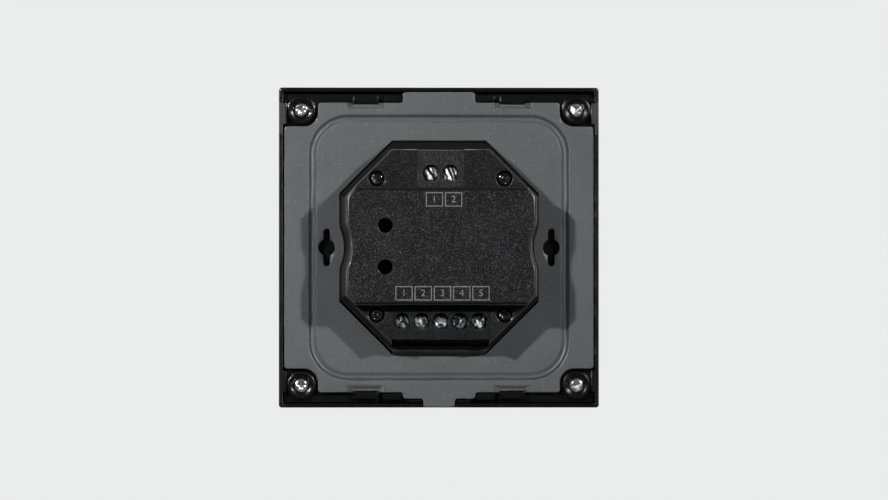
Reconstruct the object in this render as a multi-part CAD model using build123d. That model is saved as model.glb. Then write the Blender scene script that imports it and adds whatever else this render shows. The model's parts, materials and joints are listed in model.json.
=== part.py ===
from build123d import *
from math import sqrt
import os

# Wall-mounted touch control panel, in millimetres.
# X runs along the wall, Z is up and Y points into the wall box.
# The origin is on the wall's surface, midway between the two wall screws.

# Fits
FIT = 0.2
SLIDE_FIT = 0.3
THREAD_FIT = 0.05
SCREW_FIT = 0.2
BOARD_FIT = 0.4
BAY_FIT = 0.05

# Front unit
PANEL_W = 86.0
PANEL_CORNER_R = 0.8
GLASS_T = 3.0
GLASS_SETBACK = 0.2
GLASS_BEVEL = 0.35
TAPE_T = 0.3
TAPE_W = 3.2
TAPE_SETBACK = 1.0
FRAME_WALL = 1.1
FRAME_REAR_GAP = 0.4
FLANGE_W = 5.6
FLANGE_T = 1.2
FRAME_PAD_T = 1.0
FRAME_PAD_L = 5.6
TRAY_T = 1.0
LUG_R = 3.8
LUG_GAP = 0.7
LUG_RECESS_R = 2.7
LUG_RECESS_D = 0.8
LUG_REAR_GAP = 1.3
BOSS_R = 3.0
STOP_REAR_GAP = 0.8
STOP_L = 4.9
STOP_W = 1.7
PRY_STOP_L = 3.4
HOOK_T = 1.5
HOOK_W = 6.5
HOOK_REAR_GAP = 0.2
TOUCH_BOARD_T = 1.2
TOUCH_PART_ROOM = 1.4

# Cross-recess screw heads, as shares of the head's size
HEAD_ROUND = 0.55
RECESS_REACH = 0.62
RECESS_WIDTH = 0.17
RECESS_FLOOR = 0.4

# Corner screws
CORNER_INSET = 4.9
CORNER_TURNS = (20.0, 45.0, 70.0, 95.0)
CORNER_HEAD_D = 4.0
CORNER_HEAD_H = 1.3
CORNER_SHANK_D = 2.0
CORNER_BITE_ROOM = 0.3
CORNER_SKIN = 0.5
BOSS_MARGIN = 1.0

# Parts behind the touch board
TOUCH_CHIP_W = 7.0
TOUCH_CHIP_T = 1.0
TOUCH_CHIP_POS = (18.0, 14.0)
RADIO_CHIP_W = 4.0
RADIO_CHIP_T = 0.9
RADIO_CHIP_POS = (-24.0, 22.0)
LED_W = 3.0
LED_H = 1.6
LED_T = 1.1
LED_HOLE_R = 0.6
LED_ROW_Z = -20.0
LED_PITCH = 13.0
LED_COUNT = 5

# Mounting plate
PLATE_T = 1.0
PLATE_SIDE_GAP = 0.35
PLATE_END_GAP = 3.0
PLATE_CORNER_R = 0.9
TAB_ROUND_SHARE = 0.45
NOTCH_R = 3.8
TAB_W = 19.5
TOP_TAB_GAP = 0.15
BOTTOM_TAB_GAP = 1.3
PRY_TAB_W = 8.6
PRY_TAB_SETBACK = 0.2
KEYHOLE_PITCH = 60.3
KEYHOLE_R = 2.2
KEYSLOT_W = 1.65
KEYSLOT_L = 10.0
GROOVE_SIDE_INSET = 7.6
GROOVE_END_INSET = 6.9
GROOVE_CORNER_R = 9.5
GROOVE_MOUTH = 2.0
GROOVE_FLOOR = 0.7
GROOVE_D = 0.9
RIDGE_WALL = 0.6
LIP_INSET = 12.8
LIP_W = 10.0
LIP_FLOOR_W = 7.0
LIP_L = 1.8
LIP_FLOOR_L = 1.0
LIP_SET = 1.5
SCALLOP_D = 0.4
WALL_HEAD_ROOM = 2.9
COLLAR_R = 2.3
COLLAR_L = 1.4

# Rear housing
FACE_RISE = 8.5
SKIRT_D = 6.0
SKIRT_ROOF = 1.5
HOUSING_WALL = 2.0
BASE_W = 53.6
SIDE_DRAFT = 1.6
SKIRT_STEP = 2.9
SKIRT_DRAFT = 0.95
FACE_H = 31.0
FACE_ROUND = 0.9
INPUT_DECK_W = 10.4
OUTPUT_DECK_W = 9.2
DECK_BEVEL = 0.25
BAY_WALL = 1.0
CORNER_DRAFT = 2.6
FACE_CORNER_DRAFT = 0.4
POST_L = 1.6
WAIST_R = 13.0
WAIST_D = 1.2
WAIST_ROUND = 5.0
VENT_R = 2.0
VENT_X = 14.9
VENT_PITCH = 11.0

# Housing screws
HOUSING_SCREW_STEP = 2.6
HOUSING_SCREW_EDGE = 3.7
HOUSING_HEAD_D = 4.1
HOUSING_HEAD_H = 1.5
HOUSING_SHANK_D = 2.5
HOUSING_HEAD_SINK = 1.5
HOUSING_RECESS_R = 2.25
HOUSING_TURNS = (15.0, 55.0, 95.0, 135.0)
COLUMN_R = 3.4
SPIGOT_R = 2.3

# Power board and sheet
POWER_BOARD_T = 1.6
POWER_BOARD_GAP = 3.4
SHEET_T = 0.5

# Terminal blocks
POLE_PITCH = 5.08
INPUT_POLES = 2
OUTPUT_POLES = 5
INPUT_END = 1.2
OUTPUT_END = 0.2
INPUT_SCREW_SETBACK = 6.2
OUTPUT_SCREW_SETBACK = 4.9
POLE_WALL = 0.88
SCREW_POCKET_R = 2.35
TERM_HEAD_D = 4.1
TERM_HEAD_H = 1.4
TERM_HEAD_SINK = 2.6
TERM_SHANK_D = 2.5
TERM_HEAD_BEVEL = 0.28
TERM_SLOT_W = 0.8
TERM_SLOT_D = 0.8
POCKET_FLOOR = 1.0
CAVITY_FLOOR = 1.0
CAGE_H = 5.0
CAGE_L = 5.0
CAGE_TOP_WALL = 1.0
CAGE_WALL = 0.55
CAGE_FIT = 0.1
CAGE_TRAVEL = 1.8
BAR_W = 2.6
BAR_T = 0.8
BAR_GAP = 0.1
BAR_OVERHANG = 2.0
LEG_SETBACK = 3.2
MOUTH_W = 3.2
MOUTH_H = 3.7
PIN_W = 1.0
PIN_STICKOUT = 1.2
PIN_HOLE_R = 0.75
INPUT_SLOT_TURNS = (-24.0, -32.0)
OUTPUT_SLOT_TURNS = (44.0, 40.0, 48.0, -8.0, -55.0)

# Pin link between the boards
LINK_POLES = 6
LINK_PITCH = 2.54
LINK_PIN_W = 0.64
LINK_ROW_W = 2.5
HEADER_H = 2.5
SOCKET_H = 4.1
SOCKET_HOLE_W = 0.9
LINK_TIP_GAP = 1.0
LINK_SOLDER_L = 1.2
LINK_HOLE_R = 0.5

# Supply parts on the power board: centre (x, z) and size
PART_GAP = 0.5
TRANSFORMER_X = -12.0
CORE_W = 17.0
CORE_H = 14.0
CORE_L = 6.0
CORE_YOKE = 3.0
CORE_LEG = 3.0
CORE_MIDDLE = 4.0
CORE_LIFT = 1.0
COIL_WALL = 3.2
COIL_FIT = 0.1
BULK_CAP_X = 4.5
BULK_CAP_D = 10.0
BULK_CAP_H = 16.0
OUTPUT_CAP_POS = (-16.0, -7.0)
OUTPUT_CAP_D = 6.3
OUTPUT_CAP_H = 11.0
CAP_ROUND = 0.6
FILM_CAP_POS = (16.0, 10.4)
FILM_CAP_SIZE = (10.0, 8.5, 5.0)
VARISTOR_POS = (16.0, 4.0)
VARISTOR_D = 7.0
VARISTOR_T = 3.2
VARISTOR_FOOT = 1.5
FUSE_POS = (15.0, -10.0)
FUSE_SIZE = (8.5, 7.0, 4.0)
RECTIFIER_POS = (15.0, -4.0)
RECTIFIER_SIZE = (6.4, 2.4, 4.2)
CONTROL_POS = (3.0, -6.0)
CONTROL_SIZE = (5.0, 1.6, 4.0)
COUPLER_POS = (-6.5, -7.0)
COUPLER_SIZE = (6.5, 3.6, 4.6)
DRIVER_POS = (4.0, -11.6)
DRIVER_SIZE = (5.0, 1.6, 4.0)
PART_ROUND = 0.4

# Outlines that follow from the panel's size
FRAME_INNER = PANEL_W / 2 - FRAME_WALL
TRAY_EDGE = FRAME_INNER - FIT
CORNER_SCREW_POS = FRAME_INNER - CORNER_INSET
PLATE_W = 2 * (FRAME_INNER - PLATE_SIDE_GAP)
SIDE_EDGE = FRAME_INNER - PLATE_END_GAP
TOP_EDGE = FRAME_INNER - TOP_TAB_GAP
BOTTOM_EDGE = FRAME_INNER - BOTTOM_TAB_GAP
PRY_EDGE = PANEL_W / 2 - PRY_TAB_SETBACK
NOTCH_EDGE = CORNER_SCREW_POS - LUG_R - LUG_GAP
GROOVE_W = PLATE_W - 2 * GROOVE_SIDE_INSET
GROOVE_H = PLATE_W - 2 * GROOVE_END_INSET
LIP_PITCH = 2 * (NOTCH_EDGE - LIP_INSET)

# Depths of the stack, from the wall's surface towards the room
TRAY_REAR = -(PLATE_T + WALL_HEAD_ROOM)
TRAY_FRONT = TRAY_REAR - TRAY_T
TOUCH_REAR = TRAY_FRONT - TOUCH_PART_ROOM
GLASS_REAR = TOUCH_REAR - TOUCH_BOARD_T
GLASS_FRONT = GLASS_REAR - GLASS_T
FLANGE_FRONT = GLASS_REAR + TAPE_T
FLANGE_REAR = FLANGE_FRONT + FLANGE_T
FRAME_REAR = -FRAME_REAR_GAP
LUG_REAR = -LUG_REAR_GAP
LUG_SEAT = LUG_REAR - LUG_RECESS_D
CORNER_HOLE_END = FLANGE_FRONT + CORNER_SKIN
CORNER_SHANK_L = LUG_SEAT - CORNER_HOLE_END - CORNER_BITE_ROOM

# Depths of the rear unit, from the wall's surface into the box
BOARD_FRONT = POWER_BOARD_GAP
BOARD_REAR = BOARD_FRONT + POWER_BOARD_T
CAVITY_BOTTOM = BOARD_REAR + CAVITY_FLOOR
CAGE_REST = CAVITY_BOTTOM + CAGE_FIT
CAVITY_TOP = CAGE_REST + CAGE_H + CAGE_TRAVEL + CAGE_FIT
BAR_REAR = CAGE_REST + CAGE_H - CAGE_TOP_WALL - BAR_GAP
BAR_FRONT = BAR_REAR - BAR_T
TERM_SEAT = CAVITY_TOP + POCKET_FLOOR
DECK_D = TERM_SEAT + TERM_HEAD_H + TERM_HEAD_SINK
HOUSING_SEAT = DECK_D - HOUSING_HEAD_SINK - HOUSING_HEAD_H
HOUSING_D = DECK_D + FACE_RISE

# Outlines of the housing, which follow from the terminal blocks and the raised middle
INPUT_W = INPUT_POLES * POLE_PITCH + 2 * INPUT_END
OUTPUT_W = OUTPUT_POLES * POLE_PITCH + 2 * OUTPUT_END
FACE_W = BASE_W - 2 * SIDE_DRAFT
DECK_TOP = FACE_H / 2 + INPUT_DECK_W
DECK_BOTTOM = FACE_H / 2 + OUTPUT_DECK_W
DECK_REACH = DECK_BOTTOM + OUTPUT_W / 2 + FIT + BAY_WALL
BASE_REACH = DECK_REACH + CORNER_DRAFT
FACE_REACH = DECK_REACH - FACE_CORNER_DRAFT
BASE_H = 2 * (DECK_TOP + SKIRT_STEP)
HOUSING_SCREW_Z = FACE_H / 2 + HOUSING_SCREW_STEP
HOUSING_SCREW_X = DECK_REACH - HOUSING_SCREW_Z - HOUSING_SCREW_EDGE

# Places of the two tall supply parts, under the raised middle
TALL_EDGE = FACE_H / 2 - HOUSING_WALL - PART_GAP
TRANSFORMER_POS = (TRANSFORMER_X, TALL_EDGE - CORE_L / 2 - COIL_FIT - COIL_WALL)
BULK_CAP_POS = (BULK_CAP_X, TALL_EDGE - BULK_CAP_D / 2)

# Corners and mirrored places
SIGNS = ((1, 1), (-1, 1), (-1, -1), (1, -1))
CORNERS = [(sx * CORNER_SCREW_POS, sz * CORNER_SCREW_POS) for sx, sz in SIGNS]
COLUMNS = [(sx * HOUSING_SCREW_X, sz * HOUSING_SCREW_Z) for sx, sz in SIGNS]


def level(y):
    """Plane parallel to the wall at depth y, with X to the right and Z up."""
    return Plane(origin=(0, y, 0), x_dir=(1, 0, 0), z_dir=(0, -1, 0))


def slab(sketch, y_low, y_high):
    """Solid of a sketch between two depths."""
    return extrude(level(y_high) * sketch, amount=y_high - y_low)


def taper(sketch_low, y_low, sketch_high, y_high):
    """Straight-sided solid from one outline to another at a greater depth."""
    return loft([level(y_low) * sketch_low, level(y_high) * sketch_high], ruled=True)


def rod(x, z, radius, y_low, y_high):
    """Round bar along Y."""
    return slab(Pos(x, z) * Circle(radius), y_low, y_high)


def block(x_low, x_high, y_low, y_high, z_low, z_high):
    """Box between six faces."""
    middle = Pos((x_low + x_high) / 2, (z_low + z_high) / 2)
    return slab(middle * Rectangle(x_high - x_low, z_high - z_low), y_low, y_high)


def rounded(width, radius):
    """Square outline with rounded corners."""
    return RectangleRounded(width, width, radius)


def pan_screw(x, z, head_d, head_h, shank_d, seat, length, turn):
    """Cross-recess screw that is driven towards the room, with its head's seat at a depth."""
    head = rod(x, z, head_d / 2, seat, seat + head_h)
    head = fillet(head.edges().sort_by(Axis.Y)[-1], head_h * HEAD_ROUND)
    long, narrow = head_d * RECESS_REACH, head_d * RECESS_WIDTH
    recess = Rectangle(long, narrow) + Rectangle(narrow, long)
    head -= slab(Pos(x, z) * Rot(0, 0, turn) * recess, seat + head_h * RECESS_FLOOR, seat + head_h)
    return head + rod(x, z, shank_d / 2, seat - length, seat)


# Front unit


def glass_panel():
    """Toughened glass face with bevelled front edges."""
    width = PANEL_W - 2 * GLASS_SETBACK
    glass = slab(rounded(width, PANEL_CORNER_R), GLASS_FRONT, GLASS_REAR)
    return chamfer(glass.faces().sort_by(Axis.Y)[0].edges(), GLASS_BEVEL)


def bond_tape():
    """Adhesive ring between the glass and the frame's flange."""
    width = PANEL_W - 2 * GLASS_SETBACK - 2 * TAPE_SETBACK
    ring = rounded(width, PANEL_CORNER_R) - Rectangle(width - 2 * TAPE_W, width - 2 * TAPE_W)
    return slab(ring, GLASS_REAR, FLANGE_FRONT)


def octagon(half_w, z_low, z_high, corner_reach):
    """Box outline with its four corners cut on the diagonal."""
    box = Pos(0, (z_low + z_high) / 2) * Rectangle(2 * half_w, z_high - z_low)
    diamond = Rot(0, 0, 45) * Rectangle(corner_reach * sqrt(2), corner_reach * sqrt(2))
    return box & diamond


def flange_opening(inset):
    """Opening of the flange, which leaves a web under each screw boss."""
    half = PANEL_W / 2 - FLANGE_W - inset
    corner_reach = 2 * CORNER_SCREW_POS - (BOSS_R + BOSS_MARGIN + inset) * sqrt(2)
    return octagon(half, -half, half, corner_reach)


def front_frame():
    """Moulded frame: outer walls, the flange that carries the glass, and screw bosses."""
    inner = 2 * FRAME_INNER
    frame = slab(rounded(PANEL_W, PANEL_CORNER_R), FLANGE_FRONT, FRAME_REAR)
    frame -= slab(Rectangle(inner, inner), FLANGE_REAR, FRAME_REAR)
    frame -= slab(flange_opening(0), FLANGE_FRONT, FLANGE_REAR)
    for x, z in CORNERS:
        frame += rod(x, z, BOSS_R, FLANGE_REAR, TRAY_FRONT)
        frame -= rod(x, z, CORNER_SHANK_D / 2 + THREAD_FIT, CORNER_HOLE_END, TRAY_FRONT)
    for sx, sz in SIGNS:
        x_pair = sorted((sx * (FRAME_INNER - FRAME_PAD_T), sx * FRAME_INNER))
        z_low = NOTCH_EDGE + LUG_GAP
        z_pair = sorted((sz * z_low, sz * (z_low + FRAME_PAD_L)))
        frame += block(*x_pair, TRAY_REAR + FIT, FRAME_REAR, *z_pair)
    notch_half = PRY_TAB_W / 2 + SLIDE_FIT
    notch_floor = -PLATE_T - SLIDE_FIT
    frame -= block(-notch_half, notch_half, notch_floor, FRAME_REAR, -PANEL_W / 2, -FRAME_INNER)
    return frame


def tray_hook(x, sign):
    """Upright hook whose flat nose lies in the scallop of the plate's lip."""
    nose = SIDE_EDGE - SCALLOP_D + FIT
    z_pair = sorted((sign * nose, sign * (SIDE_EDGE + FIT + HOOK_T)))
    return block(x - HOOK_W / 2, x + HOOK_W / 2, TRAY_REAR, -HOOK_REAR_GAP, *z_pair)


def tray_stops(side):
    """Blocks that guide the plate's tabs on one side."""
    stop_rear = -STOP_REAR_GAP
    inner = TAB_W / 2 + SLIDE_FIT
    stops = []
    for sign in (1, -1):
        x_pair = sorted((side * inner, side * (inner + STOP_L)))
        z_low = SIDE_EDGE + SLIDE_FIT
        z_pair = sorted((sign * z_low, sign * (z_low + STOP_W)))
        stops.append(block(*x_pair, TRAY_REAR, stop_rear, *z_pair))
    pry_inner = PRY_TAB_W / 2 + SLIDE_FIT
    x_pair = sorted((side * pry_inner, side * (pry_inner + PRY_STOP_L)))
    stops.append(block(*x_pair, TRAY_REAR, stop_rear, -TRAY_EDGE, -BOTTOM_EDGE - SLIDE_FIT))
    return stops


def rear_tray():
    """Moulded tray that closes the front unit, with lugs, hooks and stops."""
    tray = slab(Rectangle(2 * TRAY_EDGE, 2 * TRAY_EDGE), TRAY_FRONT, TRAY_REAR)
    for x, z in CORNERS:
        tray += rod(x, z, LUG_R, TRAY_REAR, LUG_REAR)
    for x, z in CORNERS:
        tray -= rod(x, z, LUG_RECESS_R, LUG_SEAT, LUG_REAR)
        tray -= rod(x, z, CORNER_SHANK_D / 2 + SCREW_FIT, TRAY_FRONT, LUG_SEAT)
    for side in (1, -1):
        for sign in (1, -1):
            tray += tray_hook(side * LIP_PITCH / 2, sign)
        for stop in tray_stops(side):
            tray += stop
    return tray - slab(link_window(BOARD_FIT), TRAY_FRONT, TRAY_REAR)


def corner_screws():
    """Four bright screws that hold the tray to the frame."""
    sizes = (CORNER_HEAD_D, CORNER_HEAD_H, CORNER_SHANK_D, LUG_SEAT, CORNER_SHANK_L)
    screws = [pan_screw(x, z, *sizes, turn) for (x, z), turn in zip(CORNERS, CORNER_TURNS)]
    return Compound(children=screws)


def led_places():
    """Centres of the indicator lights."""
    middle = (LED_COUNT - 1) / 2
    return [((index - middle) * LED_PITCH, LED_ROW_Z) for index in range(LED_COUNT)]


def touch_board():
    """Board bonded to the back of the glass, with a hole for each light."""
    board = slab(flange_opening(BOARD_FIT), GLASS_REAR, TOUCH_REAR)
    for x, z in led_places():
        board -= rod(x, z, LED_HOLE_R, GLASS_REAR, TOUCH_REAR)
    return board


def touch_part(place, width, height, depth):
    """Flat part on the back of the touch board."""
    return slab(Pos(*place) * Rectangle(width, height), TOUCH_REAR, TOUCH_REAR + depth)


def link_places():
    """Places of the link's pins along X."""
    middle = (LINK_POLES - 1) / 2
    return [(index - middle) * LINK_PITCH for index in range(LINK_POLES)]


def link_window(gap):
    """Opening round the pin link with a gap on every side."""
    return Rectangle(LINK_POLES * LINK_PITCH + 2 * gap, LINK_ROW_W + 2 * gap)


def link_socket():
    """Socket strip on the back of the touch board."""
    socket = touch_part((0, 0), LINK_POLES * LINK_PITCH, LINK_ROW_W, SOCKET_H)
    for x in link_places():
        hole = Pos(x, 0) * Rectangle(SOCKET_HOLE_W, SOCKET_HOLE_W)
        socket -= slab(hole, TOUCH_REAR + LINK_TIP_GAP / 2, TOUCH_REAR + SOCKET_H)
    return socket


# Mounting plate


def plate_outline():
    """Outline of the stamped sheet with its tabs and corner notches."""
    right = [
        (TAB_W / 2, TOP_EDGE),
        (TAB_W / 2, SIDE_EDGE),
        (NOTCH_EDGE, SIDE_EDGE),
        (NOTCH_EDGE, NOTCH_EDGE),
        (PLATE_W / 2, NOTCH_EDGE),
        (PLATE_W / 2, -NOTCH_EDGE),
        (NOTCH_EDGE, -NOTCH_EDGE),
        (NOTCH_EDGE, -SIDE_EDGE),
        (TAB_W / 2, -SIDE_EDGE),
        (TAB_W / 2, -BOTTOM_EDGE),
        (PRY_TAB_W / 2, -BOTTOM_EDGE),
        (PRY_TAB_W / 2, -PRY_EDGE),
    ]
    left = [(-x, z) for x, z in reversed(right)]
    outline = make_face(Polyline(*right, *left, close=True))

    def in_notch(vertex):
        return abs(abs(vertex.X) - NOTCH_EDGE) < FIT and abs(abs(vertex.Y) - NOTCH_EDGE) < FIT

    tab_limit = TAB_ROUND_SHARE * min(BOTTOM_EDGE - SIDE_EDGE, PRY_EDGE - BOTTOM_EDGE)
    corner_r = min(PLATE_CORNER_R, tab_limit)
    outline = fillet([v for v in outline.vertices() if not in_notch(v)], corner_r)
    return fillet([v for v in outline.vertices() if in_notch(v)], NOTCH_R)


def groove_line(offset):
    """Rounded outline beside the groove's middle line."""
    return RectangleRounded(GROOVE_W + offset, GROOVE_H + offset, GROOVE_CORNER_R + offset / 2)


def ring(mouth, floor, y_mouth, y_floor):
    """Rounded ring whose sides close in from its mouth to its floor."""
    outer = taper(groove_line(floor), y_floor, groove_line(mouth), y_mouth)
    island = taper(groove_line(-floor), y_floor, groove_line(-mouth), y_mouth)
    return outer - island


def lip_outline(x, sign, width, length):
    """Outline of a lip that runs in from the sheet's upper or lower edge."""
    return Pos(x, sign * (SIDE_EDGE - length / 2)) * Rectangle(width, length)


def pressed_lip(x, sign, wall, y_mouth):
    """Stretch of the sheet's edge that is pressed towards the room, grown by a wall."""
    mouth = lip_outline(x, sign, LIP_W + 2 * wall, LIP_L + wall)
    floor = lip_outline(x, sign, LIP_FLOOR_W + 2 * wall, LIP_FLOOR_L + wall)
    return taper(floor, y_mouth - LIP_SET, mouth, y_mouth)


def mounting_plate():
    """Stamped steel plate with a pressed ring groove, keyholes and screw collars."""
    plate = slab(plate_outline(), -PLATE_T, 0)
    plate += ring(
        GROOVE_MOUTH + 2 * RIDGE_WALL, GROOVE_FLOOR + 2 * RIDGE_WALL, -PLATE_T, -PLATE_T - GROOVE_D
    )
    plate -= ring(GROOVE_MOUTH, GROOVE_FLOOR, 0, -GROOVE_D)
    for side in (1, -1):
        x = side * LIP_PITCH / 2
        for sign in (1, -1):
            plate += pressed_lip(x, sign, RIDGE_WALL, -PLATE_T)
            plate -= pressed_lip(x, sign, 0, 0)
            half = HOOK_W / 2 + FIT
            z_pair = sorted((sign * SIDE_EDGE, sign * (SIDE_EDGE - SCALLOP_D)))
            plate -= block(x - half, x + half, -PLATE_T - LIP_SET, 0, *z_pair)
        keyhole = Circle(KEYHOLE_R) + Rot(0, 0, 90) * SlotOverall(KEYSLOT_L, KEYSLOT_W)
        plate -= slab(Pos(side * KEYHOLE_PITCH / 2, 0) * keyhole, -PLATE_T, 0)
    for x, z in COLUMNS:
        plate += rod(x, z, COLLAR_R, -PLATE_T - COLLAR_L, -PLATE_T)
        plate -= rod(x, z, HOUSING_SHANK_D / 2 + THREAD_FIT, -PLATE_T - COLLAR_L, 0)
    return plate - slab(link_window(2 * BOARD_FIT), -PLATE_T, 0)


# Rear housing


def half_width(y):
    """Half the housing's width at a depth, on its drafted sides."""
    return (BASE_W + (FACE_W - BASE_W) * y / HOUSING_D) / 2


def reach(y):
    """Where the diagonal walls cut the corners at a depth, as |x| + |z|."""
    return BASE_REACH + (DECK_REACH - BASE_REACH) * y / DECK_D


def deck_outline(y, wall):
    """Housing outline under the terminal decks at a depth, inset by a wall."""
    z_low = -DECK_BOTTOM - POST_L + wall
    return octagon(half_width(y) - wall, z_low, DECK_TOP - wall, reach(y) - wall * sqrt(2))


def skirt_outline(y, wall):
    """Outline of the low skirt on the plate at a depth, inset by a wall."""
    half_h = BASE_H / 2 - SKIRT_DRAFT * y / SKIRT_D - wall
    return octagon(half_width(y) - wall, -half_h, half_h, reach(y) - wall * sqrt(2))


def face_outline(y, wall):
    """Outline of the raised middle at a depth, inset by a wall."""
    share = (y - DECK_D) / (HOUSING_D - DECK_D)
    corner_reach = DECK_REACH + (FACE_REACH - DECK_REACH) * share
    half_h = FACE_H / 2 - wall
    return octagon(half_width(y) - wall, -half_h, half_h, corner_reach - wall * sqrt(2))


def waist(side):
    """Round cutter, leaned with the drafted side, that gives room beside a wall screw."""
    lean = (BASE_W - FACE_W) / 2 / HOUSING_D
    axis = Plane(
        origin=(side * (BASE_W / 2 - WAIST_D + WAIST_R), 0, 0),
        x_dir=(0, 0, 1),
        z_dir=(-side * lean, 1, 0),
    )
    return extrude(axis * Circle(WAIST_R), amount=2 * HOUSING_D, both=True)


def beside_waist(edge):
    """Whether an edge runs up a drafted side where the waist meets it."""
    middle = edge.center()
    upright = edge.tangent_at(0.5).Y ** 2 > 0.9
    return upright and abs(middle.Z) < FACE_H / 4 and abs(middle.X) > FACE_W / 2 - WAIST_D


def housing_body():
    """Outer form of the housing, with its decks, raised middle and waist."""
    body = taper(skirt_outline(0, 0), 0, skirt_outline(SKIRT_D, 0), SKIRT_D)
    rim = DECK_D - DECK_BEVEL
    body += taper(deck_outline(0, 0), 0, deck_outline(rim, 0), rim)
    body += taper(deck_outline(rim, 0), rim, deck_outline(DECK_D, DECK_BEVEL), DECK_D)
    half_h = FACE_H / 2
    foot = octagon(half_width(rim), -half_h, half_h, reach(rim))
    body += taper(foot, rim, face_outline(DECK_D, 0), DECK_D)
    body += taper(face_outline(DECK_D, 0), DECK_D, face_outline(HOUSING_D, 0), HOUSING_D)
    for side in (1, -1):
        body -= waist(side)
    body = fillet([edge for edge in body.edges() if beside_waist(edge)], WAIST_ROUND)
    return fillet(body.faces().sort_by(Axis.Y)[-1].edges(), FACE_ROUND)


def housing_cavity():
    """Hollow of the housing, open towards the plate."""
    roof = SKIRT_D - SKIRT_ROOF
    wall = HOUSING_WALL
    cavity = taper(skirt_outline(0, wall), 0, skirt_outline(roof, wall), roof)
    low = DECK_D - wall
    cavity += taper(deck_outline(0, wall), 0, deck_outline(low, wall), low)
    high = HOUSING_D - wall
    return cavity + taper(face_outline(low, wall), low, face_outline(high, wall), high)


def rear_housing():
    """Moulded housing with screw columns and open terminal bays."""
    body = housing_body()
    housing = body - housing_cavity()
    for x, z in COLUMNS:
        column = rod(x, z, COLUMN_R, BOARD_REAR, DECK_D) + rod(x, z, SPIGOT_R, 0, BOARD_REAR)
        housing += column & body
    for x, z in COLUMNS:
        housing -= rod(x, z, HOUSING_SHANK_D / 2 + SCREW_FIT, 0, HOUSING_SEAT)
        housing -= rod(x, z, HOUSING_RECESS_R, HOUSING_SEAT, DECK_D)
    bay = INPUT_W / 2 + BAY_FIT
    housing -= block(-bay, bay, BOARD_REAR, DECK_D, FACE_H / 2, DECK_TOP)
    bay = OUTPUT_W / 2 + BAY_FIT
    housing -= block(-bay, bay, BOARD_REAR, DECK_D, -DECK_BOTTOM - POST_L, -FACE_H / 2)
    for z in (VENT_PITCH / 2, -VENT_PITCH / 2):
        housing -= rod(VENT_X, z, VENT_R, HOUSING_D - HOUSING_WALL, HOUSING_D)
    return housing


def housing_screws():
    """Four black screws that hold the housing to the plate."""
    length = HOUSING_SEAT + PLATE_T + COLLAR_L
    sizes = (HOUSING_HEAD_D, HOUSING_HEAD_H, HOUSING_SHANK_D, HOUSING_SEAT, length)
    screws = [pan_screw(x, z, *sizes, turn) for (x, z), turn in zip(COLUMNS, HOUSING_TURNS)]
    return Compound(children=screws)


# Boards in the housing


def board_outline():
    """Outline of the power board inside the housing's walls."""
    inset = HOUSING_WALL + BOARD_FIT
    z_low = -DECK_BOTTOM - POST_L + inset
    return octagon(
        half_width(BOARD_REAR) - inset, z_low, DECK_TOP - inset, reach(BOARD_REAR) - inset * sqrt(2)
    )


def power_board():
    """Mains board on the shoulders of the screw columns."""
    board = slab(board_outline(), BOARD_FRONT, BOARD_REAR)
    for x, z in COLUMNS:
        board -= rod(x, z, SPIGOT_R + SCREW_FIT, BOARD_FRONT, BOARD_REAR)
    for x in link_places():
        board -= rod(x, 0, LINK_HOLE_R, BOARD_FRONT, BOARD_REAR)
    for bay in (INPUT_BAY, OUTPUT_BAY):
        for x in bay.pole_places():
            board -= rod(x, bay.leg_z(), PIN_HOLE_R, BOARD_FRONT, BOARD_REAR)
    return board


def insulating_sheet():
    """Fibre sheet between the board's solder side and the plate."""
    sheet = slab(board_outline(), 0, SHEET_T)
    for x, z in COLUMNS:
        sheet -= rod(x, z, SPIGOT_R + SCREW_FIT, 0, SHEET_T)
    return sheet - slab(link_window(2 * BOARD_FIT), 0, SHEET_T)


def link_header():
    """Pin strip's moulded body on the front of the power board."""
    header = slab(link_window(0), BOARD_FRONT - HEADER_H, BOARD_FRONT)
    for x in link_places():
        hole = Pos(x, 0) * Rectangle(LINK_PIN_W, LINK_PIN_W)
        header -= slab(hole, BOARD_FRONT - HEADER_H, BOARD_FRONT)
    return header


def link_pins():
    """Square pins from the power board into the socket."""
    pins = []
    for x in link_places():
        section = Pos(x, 0) * Rectangle(LINK_PIN_W, LINK_PIN_W)
        pins.append(slab(section, TOUCH_REAR + LINK_TIP_GAP, BOARD_REAR + LINK_SOLDER_L))
    return Compound(children=pins)


# Terminal blocks


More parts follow.
